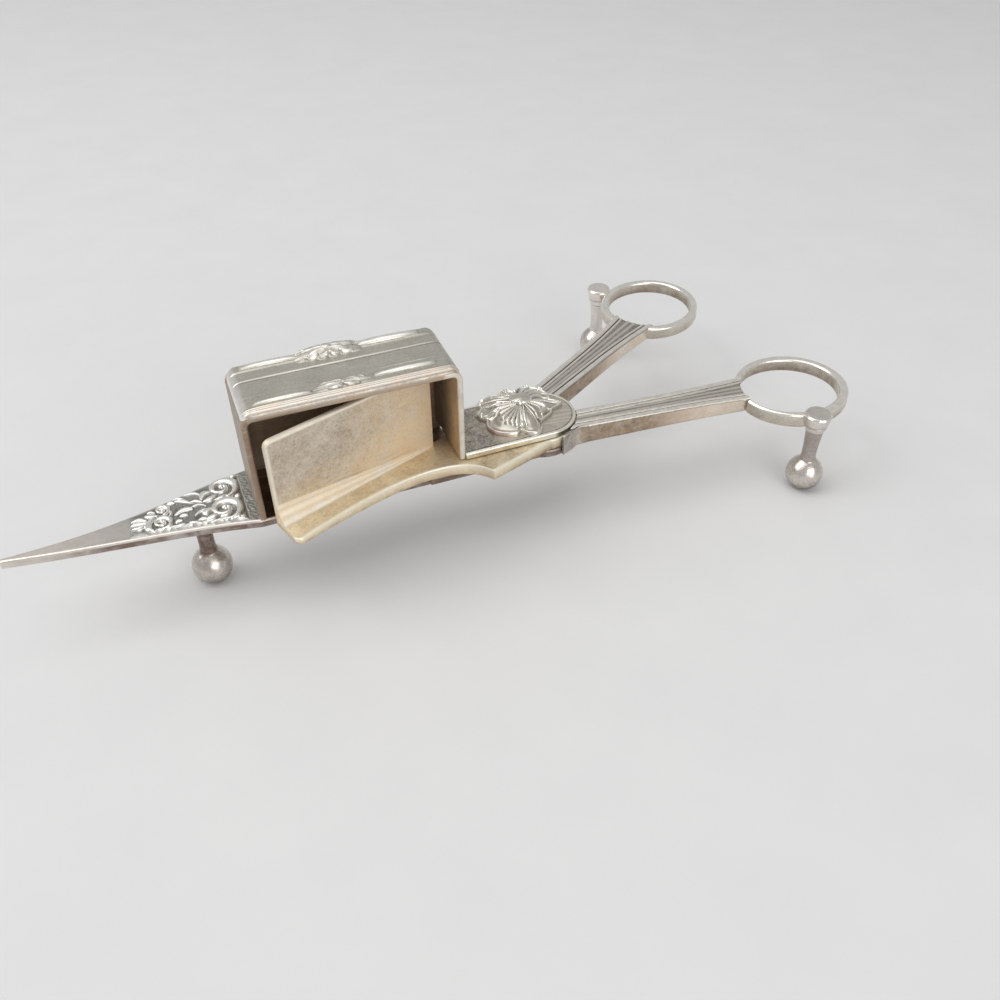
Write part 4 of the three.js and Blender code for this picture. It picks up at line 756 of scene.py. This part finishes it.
dome_turn = np.linspace(0.05, np.pi / 2, 12)
head_drop = (WASHER_FOOT - HEAD_FOOT) * np.cos(dome_turn)
head = np.stack([HEAD_RADIUS * np.sin(dome_turn), WASHER_FOOT - head_drop], 1)
pin = np.concatenate([head, [(RIVET_RADIUS, WASHER_FOOT), (RIVET_RADIUS, RIVET_TOP), (0.05, RIVET_TOP)]])
rivet_silver = plated("rivet_silver", satin=(0.62, 0.57, 0.50), rubbed=(0.92, 0.86, 0.77),
                      tarnish=(0.14, 0.12, 0.09), warm=(0.58, 0.42, 0.30), mottle=0.5, dullness=0.34)
points, faces = turned(pin)
rivet = piece("rivet", "box_lever", points, faces, rivet_silver,
              wear_and_painted_light=1 - np.hypot(points[:, 0], points[:, 1]) / 2.4)
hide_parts("pivot_rivet")
washer_corners = [(0.05, WASHER_FOOT), (WASHER_RADIUS, WASHER_FOOT),
                  (WASHER_RADIUS, PAN_BOTTOM), (0.05, PAN_BOTTOM)]
points, faces = turned(rounded_profile(washer_corners, 0.2))
washer = piece("washer", "box_lever", points, faces, rivet_silver,
               wear_and_painted_light=np.clip(np.hypot(points[:, 0], points[:, 1]) - 3.2, 0, 0.8))
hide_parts("rivet_washer")


# Handles: cast bars with reeded tops, each hollowed in a step round the hinge and let over a tang, widening
# to the finger ring. Palms have rubbed the flanks through to the copper; the reed crests are lighter,
# partly rubbed bright by palms and partly painted highlights.

HANDLE_TOP, HANDLE_DROP = 23.6, 2.3
HANDLE_LENGTH, HANDLE_OFFSET = 51.6, 4.1
HUB_WIDTH = 6.6
HUB_HEIGHT, RING_END_HEIGHT = 5.7, 4.4
UPPER_SHOULDER, LOWER_SHOULDER = 8.7, 9.4
SHOULDER_STEP = LEAF_BOTTOM + 0.1
RING_ALONG = HANDLE_LENGTH + 12.1
RING_ACROSS, RING_LONG = 12.9, 13.93
RING_WALL, RING_HEIGHT, RING_TOP = 2.0, 3.4, 20.95
OUTER_REED, INNER_REED, REED_FLOOR = 1.6, 0.85, 0.78
PALM_FROM, PALM_RUN = 24, 14
ARMS = {
    "near": {"body": "box_lever", "side": -1, "ring_out": 6.7, "angle": -1.9, "swing": None,
             "ring_width": 9.2, "shift": 0.6, "band": (-147, 169), "boss_rub": 0.4},
    "far": {"body": "press_lever", "side": 1, "ring_out": 5.0, "angle": 33.5, "swing": 53.5,
            "ring_width": 10.4, "shift": 0.0, "band": (-154, 161), "boss_rub": 0.7}}


def reeded_top(across, half):
    """Top of the handle across its width: a broad half-round reed at each edge, a thin one inside it, and a
    channel with two faint ridges between, all as drops below the crest."""
    edge = np.abs(across)
    outer = -REED_FLOOR + REED_FLOOR * ridge(edge, half - OUTER_REED / 2, OUTER_REED / 2)
    inner = -REED_FLOOR + 0.64 * ridge(edge, half - OUTER_REED - INNER_REED / 2 - 0.12, INNER_REED / 2 + 0.06)
    channel = np.where(edge < half - OUTER_REED - INNER_REED - 0.15, -0.44, -REED_FLOOR)
    channel = channel + 0.16 * ridge(edge, 0.16 * half, 0.11 * half)
    return np.maximum.reduce([outer, inner, channel])


def handle_skin(arm):
    """Handle between two ends: at each place across, it runs from the hinge's stepped round to the ring's
    opening, its width, height and top changing evenly. The section is the reeded top over a round foot."""
    t = np.linspace(-1, 1, 109)
    t = np.sign(t) * (1 - (1 - np.abs(t))**1.25)
    u = np.linspace(0, 1, 110)[:, None]
    reach = np.concatenate([[[8.0], [8.7]], 9 + u * (HANDLE_LENGTH - 9)]) + 0 * t
    for _ in range(4):
        length = np.clip(reach / HANDLE_LENGTH, 0, 1.1)
        flare = np.clip(length - 0.55, 0, None) / 0.45
        half = (HUB_WIDTH + (arm["ring_width"] - HUB_WIDTH) * (0.45 * length + 0.55 * flare**2)) / 2
        beside = HANDLE_OFFSET + half * t
        starts = []
        for shoulder, row in ((UPPER_SHOULDER, 0), (LOWER_SHOULDER, 2)):
            aside = beside[row]
            start = np.sqrt(np.clip(shoulder**2 - aside**2, 0, None))
            if arm["swing"] is not None:
                sine, cosine = np.sin(np.radians(arm["swing"])), np.cos(np.radians(arm["swing"]))
                start = np.where(start * cosine < aside * sine, (shoulder - aside * cosine) / sine, start)
            starts.append(start)
        across_ring = np.clip((beside[-1] - arm["ring_out"]) / (RING_ACROSS - RING_WALL), -0.98, 0.98)
        opening = RING_LONG - RING_WALL + arm["shift"] / 2
        end = RING_ALONG - arm["shift"] - opening * np.sqrt(1 - across_ring**2)
        reach = np.concatenate([[starts[0], starts[1] - 0.02], starts[1] + (end - starts[1]) * u])
    length = reach / HANDLE_LENGTH
    crest = HANDLE_TOP - HANDLE_DROP * length
    tall = HUB_HEIGHT + (RING_END_HEIGHT - HUB_HEIGHT) * length
    drop = reeded_top(half * t, half)
    foot = crest - tall + 1.2 * (1 - np.sqrt(np.clip(1 - np.clip((np.abs(t) - 0.7) / 0.3, 0, 1)**2, 0, 1)))
    foot[:2] = SHOULDER_STEP
    upper = np.stack([reach, arm["side"] * beside, crest + drop], -1)
    lower = np.stack([reach, arm["side"] * beside, foot], -1)[:, ::-1]
    loop = np.concatenate([upper, lower], 1)
    rows, cols = loop.shape[:2]
    pair = np.arange(len(t) - 1)
    cap = np.stack([pair, pair + 1, cols - 2 - pair, cols - 1 - pair], 1)
    faces = [grid(rows, cols, around=True), cap[:, ::-1], (rows - 1) * cols + cap]
    drop = np.concatenate([drop, np.full_like(drop, -2.0)], 1)
    top_flank = np.clip((np.abs(t) - 0.985) / 0.015, 0, 1)
    low_flank = np.clip((np.abs(t[::-1]) - 0.6) / 0.3, 0, 1)
    return loop.reshape(-1, 3), faces, drop.ravel(), np.tile(np.concatenate([top_flank, low_flank]), rows)


handle_silver = plated("handle_silver", satin=(0.66, 0.61, 0.54), rubbed=(0.98, 0.95, 0.88),
                       tarnish=(0.13, 0.105, 0.08), warm=(0.78, 0.56, 0.39), mottle=0.40, dullness=0.28)
for name, arm in ARMS.items():
    points, faces, drop, flank = handle_skin(arm)
    # Reed crests: lighter, partly wear and partly painted highlights.
    crest_wear_and_highlight = np.clip((drop + 0.38) / 0.24, 0, 1)
    grooves = np.clip((-0.42 - drop) / 0.2, 0, 1) * (drop > -1)
    channels = np.exp(-((drop + 0.42) / 0.08)**2)
    palm = np.clip((points[:, 0] - PALM_FROM) / PALM_RUN, 0, 1)
    bar = piece(f"{name}_bar", arm["body"], points, faces, handle_silver, turn=arm["angle"],
                wear_and_painted_light=crest_wear_and_highlight * (1 - flank) + 0.5 * flank * palm,
                grime_and_painted_light=(grooves + 0.16 * channels) * (1 - flank) + 0.3 * flank * (1 - palm), copper_and_painted_light=flank)
    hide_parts(f"{name}_handle")


# Near knuckle: the near handle's shoulder spreads round the hinge in a hollow curve, filed by hand. It is
# grey at its tip and coppery where it runs into the flank, with a dark slot between it and the hub.

KNUCKLE_TIP, KNUCKLE_RUN, KNUCKLE_OUT = 2.0, 9.2, 10.0
flank_out = HANDLE_OFFSET + HUB_WIDTH / 2
hollow_start = np.degrees(np.arcsin(KNUCKLE_TIP / LOWER_SHOULDER))
hollow_end = np.degrees(np.arccos((flank_out - 0.4) / LOWER_SHOULDER))
inner_curve = arc((0, 0), LOWER_SHOULDER, hollow_end - 90, hollow_start - 90, 24)
outer_curve = bezier((KNUCKLE_TIP, -KNUCKLE_OUT), (5.6, -flank_out - 0.15), (6.3, -flank_out),
                     (KNUCKLE_RUN, -flank_out), 24)
knuckle_outline = np.concatenate([outer_curve, [(KNUCKLE_RUN, -flank_out + 0.4)], inner_curve])
points, faces, rubbed, side = slab(knuckle_outline, HANDLE_TOP - HUB_HEIGHT + 0.1, 23.2, 0.28, 0.28, room=0.3)
knuckle_silver = plated("knuckle_silver", satin=(0.78, 0.74, 0.69), rubbed=(0.96, 0.90, 0.82),
                        tarnish=(0.16, 0.14, 0.13), warm=(0.74, 0.55, 0.40), mottle=0.5, dullness=0.36)
knuckle = piece("near_knuckle", "box_lever", points, faces, knuckle_silver, turn=ARMS["near"]["angle"],
                wear_and_painted_light=0.8 * rubbed * (1 - side), grime_and_painted_light=0.15 * side,
                copper_and_painted_light=side * np.clip((points[:, 0] - 3.5) / 5, 0, 1))


# Finger rings: flat bands bent to an oval and soldered into the handles' ends, where they stop against
# the flanks. Their top rims are lighter, partly rubbed bright by fingers and partly painted highlights;
# their sides are duller and grow darker and browner towards the bottom, most of all inside.

RING_EDGE = 0.7


def band_skin(arm):
    """A section carried round an oval: each place is on the line from the outer oval to the opening's oval,
    by the section's depth, with rounded rims above and below."""
    tall = RING_HEIGHT / 2
    low_out = RING_EDGE * (1 + arc((0, 0), 1, 180, 270, 6)) - [0, tall]
    section = np.concatenate([low_out, (low_out * [-1, 1])[::-1],
                              low_out * [-1, -1], (low_out * [1, -1])[::-1]])
    depth, level = section.T
    inner = np.repeat([0, 1, 1, 0], 6)
    bearing = np.radians(np.linspace(*arm["band"], 170))[:, None]
    outer_along, outer_across = RING_LONG * np.cos(bearing), RING_ACROSS * np.sin(bearing)
    inner_along = (RING_LONG - RING_WALL + arm["shift"] / 2) * np.cos(bearing) - arm["shift"]
    inner_across = (RING_ACROSS - RING_WALL) * np.sin(bearing)
    wall = np.hypot(outer_along - inner_along, outer_across - inner_across)
    share = inner + np.clip(depth / wall, -0.45, 0.45)
    deeper = 1 + 0.2 * arm["shift"] * np.clip(np.cos(bearing - np.radians(130)), 0, 1)
    skin = np.stack([RING_ALONG + outer_along + (inner_along - outer_along) * share,
                     arm["side"] * (arm["ring_out"] + outer_across + (inner_across - outer_across) * share),
                     RING_TOP - tall + level * np.where(level < 0, deeper, 1)], -1)
    rows = len(skin)
    return *tube(skin), np.tile(level, rows) / tall, np.tile(inner, rows)


ring_silver = plated("ring_silver", satin=(0.80, 0.75, 0.66), rubbed=(0.98, 0.96, 0.90),
                     tarnish=(0.20, 0.16, 0.12), warm=(0.56, 0.44, 0.36), mottle=0.36, dullness=0.26)
for name, arm in ARMS.items():
    points, faces, up, inner = band_skin(arm)
    # Top rims lighter: partly wear, partly painted highlights. Darker and browner towards the bottom, most
    # inside.
    band = piece(f"{name}_band", arm["body"], points, faces, ring_silver, turn=arm["angle"],
                 wear_and_painted_light=np.clip((up - 0.62) / 0.25, 0, 0.85), grime_and_painted_light=0.35 * inner * np.clip(0.7 - up, 0, 1),
                 copper_and_painted_light=np.where(inner > 0, np.clip(0.9 - up, 0, 0.8), np.clip(0.3 - up, 0, 0.45)))
    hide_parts(f"{name}_ring")


# Feet: a turned boss against each ring with a slim leg and a polished ball under it, and a third leg
# soldered under the spike. The balls are worn flat where they stand.

BALL_RADIUS, PAD_RADIUS = 4.35, 1.2
LEG_NECK, LEG_WAIST = 2.0, 1.7
LEG_TOP, FRONT_LEG_TOP = 2.1, 1.8
BOSS_TOP, BOSS_FOOT = 21.7, 16.9
BOSS_RADIUS, BOSS_LOW_RADIUS = 3.2, 2.35
FOOT_ALONG, FOOT_OUT = RING_ALONG - 1.45, 20.2
FRONT_FOOT = (BOX_LEFT - 11.7, 0.0)


def foot_profile(top, top_radius):
    """Ball, cove and leg in one line: the ball's circle up to its neck, then a leg that draws in to its waist
    and widens again to its top, the two joined by a soft maximum."""
    centre = np.sqrt(BALL_RADIUS**2 - PAD_RADIUS**2)
    low = np.linspace(0, np.pi, 44)
    ball_height = centre - BALL_RADIUS * np.cos(low)
    height = np.concatenate([np.clip(ball_height, 0, None), np.linspace(centre + BALL_RADIUS, top, 50)[1:]])
    ball = np.sqrt(np.clip(BALL_RADIUS**2 - (height - centre)**2, 0, None))
    neck = centre + BALL_RADIUS * 0.88
    share = np.clip((height - neck) / (top - neck), 0, 1)
    leg = LEG_WAIST + (LEG_NECK - LEG_WAIST) * np.exp(-share / 0.1)
    leg = leg + (top_radius - LEG_WAIST) * np.clip((share - 0.3) / 0.7, 0, 1)**1.6
    radius = (ball**4 + np.where(height > centre, leg, 0)**4)**0.25
    keep = np.concatenate([[True], np.diff(height) > 1e-6])
    return np.concatenate([[(0.05, 0.0)], np.stack([radius, height], 1)[keep], [(0.05, top)]])


foot_silver = plated("foot_silver", satin=(0.84, 0.79, 0.72), rubbed=(0.98, 0.95, 0.90),
                     tarnish=(0.19, 0.14, 0.115), warm=(0.42, 0.31, 0.275), mottle=0.9, dullness=0.19)
near_angle, far_angle = ARMS["near"]["angle"], ARMS["far"]["angle"]
for name, body, top, top_radius, spot, angle, bare, clean, soil in [
        ("near_foot", "box_lever", BOSS_FOOT, LEG_TOP, (FOOT_ALONG, -FOOT_OUT), near_angle, 0.6, 0.3, 0.5),
        ("far_foot", "press_lever", BOSS_FOOT, LEG_TOP, (FOOT_ALONG, FOOT_OUT), far_angle, 0.05, 0.5, 0.03),
        ("front_foot", "box_lever", PAN_BOTTOM, FRONT_LEG_TOP, FRONT_FOOT, 0, 1.0, 0.0, 0.3)]:
    points, faces = turned(foot_profile(top, top_radius), *spot)
    ball = np.clip((2 * BALL_RADIUS - points[:, 2]) / 0.6, 0, 1)
    under_ball = np.clip(1 - points[:, 2] / 4.0, 0, 1)
    leg = piece(f"{name}_leg", body, points, faces, foot_silver, turn=angle,
                wear_and_painted_light=0.28 * ball * (1 - under_ball) + clean * (1 - ball),
                grime_and_painted_light=0.6 * under_ball + soil * (1 - ball),
                copper_and_painted_light=bare + (0.3 - bare) * ball)
    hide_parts(name)
boss_corners = [(0.05, BOSS_FOOT), (LEG_TOP, BOSS_FOOT), (BOSS_LOW_RADIUS, BOSS_FOOT + 0.4),
                (BOSS_LOW_RADIUS + 0.28, BOSS_FOOT + 1.5), (BOSS_LOW_RADIUS + 0.16, BOSS_FOOT + 1.75),
                (BOSS_LOW_RADIUS + 0.36, BOSS_FOOT + 2.0), (BOSS_RADIUS, BOSS_TOP - 0.5),
                (BOSS_RADIUS - 0.4, BOSS_TOP), (0.05, BOSS_TOP)]
for name, arm in ARMS.items():
    points, faces = turned(rounded_profile(boss_corners, 0.22), FOOT_ALONG, arm["side"] * FOOT_OUT)
    away = np.hypot(points[:, 0] - FOOT_ALONG, points[:, 1] - arm["side"] * FOOT_OUT)
    crown = np.clip(1 - np.abs(points[:, 2] - BOSS_TOP + 0.25) / 0.6, 0, 1) * np.clip(away - 2.2, 0, 1)
    ring_line = np.exp(-((points[:, 2] - BOSS_FOOT - 1.75) / 0.25)**2)
    boss = piece(f"{name}_boss", arm["body"], points, faces, foot_silver, turn=arm["angle"],
                 wear_and_painted_light=np.maximum(crown, arm["boss_rub"]),
                 grime_and_painted_light=0.5 * ring_line, copper_and_painted_light=np.clip((BOSS_TOP - 1 - points[:, 2]) / 5, 0, 0.6))
    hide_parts(f"{name}_foot_boss")


# Press blade: the flat blade of the other lever, drawn closed and turned open. Its round hub lies between
# the hinge leaves; a curved throat runs from a cusp to a thinned tip, all yellowed by the candle's heat.

OPEN_ANGLE = 18.5
BLADE_BOTTOM, BLADE_TOP = 19.8, 22.3
PRESS_HUB = 8.9
PLATE_THICKNESS, PLATE_HEIGHT = 1.1, 20.2
PLATE_BACK = BACK_INSIDE - 0.4
PLATE_FRONT = PLATE_BACK - PLATE_THICKNESS
PLATE_END = -np.sqrt((BOX_LEFT + WALL + 0.3)**2 - PLATE_BACK**2)
PLATE_START = BOX_RIGHT - WALL - 2.7
CUSP = np.array([-20.4, -8.1])
TIP_FRONT = PLATE_BACK - 8.2
TIP_ROUND = 1.4
TIP_RISE, THIN_FROM = 1.25, -44
BLADE_EDGE = 0.4
throat = bezier((PLATE_END + TIP_ROUND, TIP_FRONT), (CUSP[0] * 2.48, CUSP[1] + 10.6),
                (CUSP[0] * 1.14, CUSP[1] + 13.6), CUSP, 120)
tip_run = PLATE_END + TIP_ROUND * (1 - np.cos(np.linspace(0, np.pi / 2, 12)))
hub_run = PRESS_HUB * np.sin(np.linspace(0, 0.997 * np.pi / 2, 50))
run = np.concatenate([tip_run, throat[1:, 0], np.linspace(CUSP[0], 0, 60)[1:], hub_run[1:]])
hub_half = np.sqrt(np.clip(PRESS_HUB**2 - run**2, 0, None))
hub_tangent = -np.sqrt(PRESS_HUB**2 - CUSP[1]**2)
tip_front = TIP_FRONT + TIP_ROUND * (1 - quarter(run - PLATE_END, TIP_ROUND))
front = np.where(run < PLATE_END + TIP_ROUND, tip_front, np.interp(run, throat[:, 0], throat[:, 1]))
front = np.where(run > CUSP[0], np.where(run > hub_tangent, -hub_half, CUSP[1]), front)
back = np.where(run > 0, hub_half, np.interp(run, [PLATE_START, 0], [PLATE_BACK, PRESS_HUB]))
offset = np.concatenate([BLADE_EDGE * (1 - np.cos(np.linspace(0, np.pi / 2, 7))), [0.6]])
x = np.broadcast_to(run[:, None], (len(run), 70))
width = (back - front)[:, None]
past_edge = 0.6 + (width - 0.6) * np.linspace(0, 1, 63)[1:]
from_front = np.concatenate([np.minimum(offset, 0.3 * width), past_edge], 1)
from_front = np.where(width > 2.5, from_front, width * np.linspace(0, 1, 70))
y = front[:, None] + from_front
top = BLADE_TOP - BLADE_EDGE * (1 - quarter(from_front, BLADE_EDGE))
thinning = np.clip((THIN_FROM - run) / (THIN_FROM - PLATE_END), 0, 1)**1.3
points, faces, walls = capped(x, y, top, BLADE_BOTTOM + TIP_RISE * thinning)
edge_worn = np.clip(1 - np.abs(from_front - 0.25) / 0.5, 0, 1)
behind = np.clip((from_front - 1.5) / 5, 0, 1) * np.clip((x + 42) / 12, 0, 1)
by_leaf = np.clip((x + 24) / 3, 0, 1) * np.clip((y + 9.5) / 4, 0, 1)
in_front = np.tile(np.clip((-12 - run) / 6, 0, 1), 2)
blade_silver = plated("blade_silver", satin=(0.95, 0.86, 0.64), rubbed=(0.98, 0.95, 0.82),
                      tarnish=(0.27, 0.175, 0.09), warm=(0.92, 0.66, 0.37), mottle=0.38, dullness=0.40,
                      metal=0.6)
blade = piece("blade", "press_lever", points, faces, blade_silver, turn=OPEN_ANGLE,
              wear_and_painted_light=skirted(0.9 * edge_worn, walls, 0.08 * in_front),
              grime_and_painted_light=skirted(np.maximum(0.05 * behind, 0.35 * by_leaf), walls, 0.6 - 0.25 * in_front),
              copper_and_painted_light=skirted(0.15 + 0.3 * behind, walls, 0.8))
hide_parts("press_blade")


# Press plate: an upright sheet soldered on the blade, which pushes the trimmed wick into the box. Its face
# is a dull champagne with cloudy stains, golden towards the hinge and the bottom and streaked brown by the
# fold, where a foot of soft reeds runs out that way. The golden parts are a heat tint painted lighter as
# painted light, and the foot is painted lighter and golden all over, with painted highlights on its reed
# crests.

PLATE_CORNER = 1.6
PLATE_EDGE = 0.6
FOOT_DEPTH, FOOT_HEIGHT = 2.3, 4.6
FOOT_END = PLATE_START - 1.0
plate_top = BLADE_TOP + PLATE_HEIGHT
ends_near = 0.5 - 0.5 * np.cos(np.linspace(0, np.pi, 120))
x, v = np.meshgrid(PLATE_END + (PLATE_START - PLATE_END) * ends_near, ends_near[::2], indexing="ij")
x_in = x - PLATE_END
head_room = plate_top - PLATE_CORNER * (1 - quarter(x_in, PLATE_CORNER))
z = BLADE_TOP + (head_room - BLADE_TOP) * v
edge_in = np.minimum(x_in, head_room - z)
points, faces, walls = raised(x, z, PLATE_THICKNESS - 0.75 * (1 - quarter(edge_in, PLATE_EDGE)), 0.0)
share = x_in / (PLATE_START - PLATE_END)
rise = (z - BLADE_TOP) / PLATE_HEIGHT
# Golden heat tint towards the hinge and the bottom, lightened there as painted light where the box and the
# blade shade the plate.
golden_tint_and_painted_light = np.clip(1.7 * share - 0.7, 0, 1) + np.clip(0.72 - 1.5 * rise + 0.25 * share, 0, 1)
streak = np.sin(105 * (rise + 0.12 * share) + 1.1 * np.sin(0.31 * x) + 0.9 * np.sin(0.83 * x + 9 * rise))
streak = streak * (0.55 + 0.45 * np.sin(0.57 * x + 21 * rise))
by_fold = np.exp(-((rise - 0.2 + 0.16 * share) / 0.13)**2) * np.clip(3 * share - 0.3, 0, 1)
streak = np.clip(streak, 0, 1) * by_fold
rubbed = np.clip(1 - np.abs(edge_in - 0.3) / 0.5, 0, 1)
press_silver = plated("press_silver", satin=(0.72, 0.645, 0.54), rubbed=(0.98, 0.92, 0.79),
                      tarnish=(0.30, 0.205, 0.125), warm=(0.99, 0.72, 0.40), mottle=0.58, dullness=0.52,
                      relief=0.05, metal=0.65)
press = piece("press_sheet", "press_lever", stand(points, PLATE_BACK), faces, press_silver, turn=OPEN_ANGLE,
              wear_and_painted_light=skirted(np.maximum(0.8 * rubbed, 0.32 * golden_tint_and_painted_light), walls),
              grime_and_painted_light=skirted(0.4 * streak, walls), copper_and_painted_light=skirted(0.95 * golden_tint_and_painted_light, walls, 0.3))
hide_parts("press_plate")
run, t = np.meshgrid(np.linspace(PLATE_END + 0.1, FOOT_END, 110), np.linspace(0, 1, 64), indexing="ij")
taper = 0.12 + 0.88 * (FOOT_END - run) / (FOOT_END - PLATE_END)
reeds = np.abs(np.sin(3 * np.pi * t))
out = taper * (FOOT_DEPTH * (1 - t)**2.0 + 0.22 * reeds * (1 - t)**0.5)
up = BLADE_TOP + FOOT_HEIGHT * taper * t
cove = np.stack([run, PLATE_FRONT - out, up], -1)
hidden = np.stack([run[:, ::63], np.full((110, 2), PLATE_FRONT + 0.3), up[:, ::-63]], -1)
points, faces = tube(np.concatenate([cove, hidden], 1))
crest = np.pad(reeds**2 * (1 - 0.5 * t), ((0, 0), (0, 2)))
fold = np.pad(np.exp(-(t / 0.14)**2), ((0, 0), (0, 2)))
# The foot is painted lighter and golden all over as painted light, and lighter still on its reed crests as
# painted highlights.
reeded_foot = piece("press_foot", "press_lever", points, faces, press_silver, turn=OPEN_ANGLE,
                    wear_and_painted_light=0.5 + 0.45 * crest.ravel(), grime_and_painted_light=0.5 * fold.ravel(), copper_and_painted_light=0.9)


# Setting: a plain pale matt tabletop in a soft even room, under three broad lights, one overhead and one
# each from the left and the front. The camera stands where the photograph's did, at its focal length.

floor_mesh = bpy.data.meshes.new("floor")
floor_mesh.from_pydata([(-3, -3, 0), (3, -3, 0), (3, 3, 0), (-3, 3, 0)], [], [(0, 1, 2, 3)])
floor = bpy.data.objects.new("floor", floor_mesh)
bpy.context.scene.collection.objects.link(floor)
paper = bpy.data.materials.new("pale_tabletop")
paper.use_nodes = True
tree = paper.node_tree
shader = tree.nodes["Principled BSDF"]
shader.inputs["Roughness"].default_value = 0.85
shader.inputs["Specular IOR Level"].default_value = 0.08
mottle = noise(tree, add(tree, "ShaderNodeTexCoord").outputs["Object"], 40, 6, 0.6)
pale = tint(tree, mottle, (0.70, 0.70, 0.70, 1), (0.76, 0.76, 0.755, 1))
tree.links.new(pale, shader.inputs["Base Color"])
floor_mesh.materials.append(paper)

world = bpy.data.worlds.new("soft_room")
world.use_nodes = True
world.node_tree.nodes["Background"].inputs["Color"].default_value = (0.52, 0.52, 0.52, 1)
world.node_tree.nodes["Background"].inputs["Strength"].default_value = 1.0
bpy.context.scene.world = world


def put(thing, axes, place):
    """Link a lamp or camera into the scene, with its own axes as columns, at a place in metres."""
    thing.matrix_world = Matrix([[*axes[k], place[k]] for k in range(3)] + [[0, 0, 0, 1]])
    bpy.context.scene.collection.objects.link(thing)


def softbox(name, place, target, size, power):
    """A square area light at place, in metres, facing target."""
    data = bpy.data.lights.new(name, "AREA")
    data.size = size
    data.energy = power
    lamp = bpy.data.objects.new(name, data)
    aim = np.array(place) - np.array(target)
    aim = aim / np.linalg.norm(aim)
    side_axis = np.cross((0, 1, 0), aim)
    side_axis = side_axis / np.linalg.norm(side_axis)
    put(lamp, np.stack([side_axis, np.cross(aim, side_axis), aim], 1), place)


softbox("overhead", (-0.15, 0.05, 0.80), (0, 0, 0), 0.8, 1.9)
softbox("left_fill", (-0.80, 0.20, 0.80), (0, 0, 0.02), 0.7, 3.5)
softbox("front_fill", (0.15, -0.85, 0.40), (0, 0, 0.02), 0.7, 2.6)

CAMERA_AT = np.array([-76.21, -165.96, 154.92])
yaw, pitch, roll_angle = np.radians([21.79, 40.84, -0.26])
forward = np.array([np.cos(pitch) * np.sin(yaw), np.cos(pitch) * np.cos(yaw), -np.sin(pitch)])
level = np.array([np.cos(yaw), -np.sin(yaw), 0])
upward = np.cross(level, forward)
right = np.cos(roll_angle) * level + np.sin(roll_angle) * upward
upward = np.cos(roll_angle) * upward - np.sin(roll_angle) * level
camera_data = bpy.data.cameras.new("camera")
camera_data.sensor_width = 36
camera_data.lens = 36 * 0.97134
camera_data.clip_start = 0.005
camera = bpy.data.objects.new("camera", camera_data)
put(camera, np.stack([right, upward, -forward], 1), (CAMERA_AT + PIVOT) / 1000)
bpy.context.scene.camera = camera
bpy.context.scene.view_settings.view_transform = "Standard"
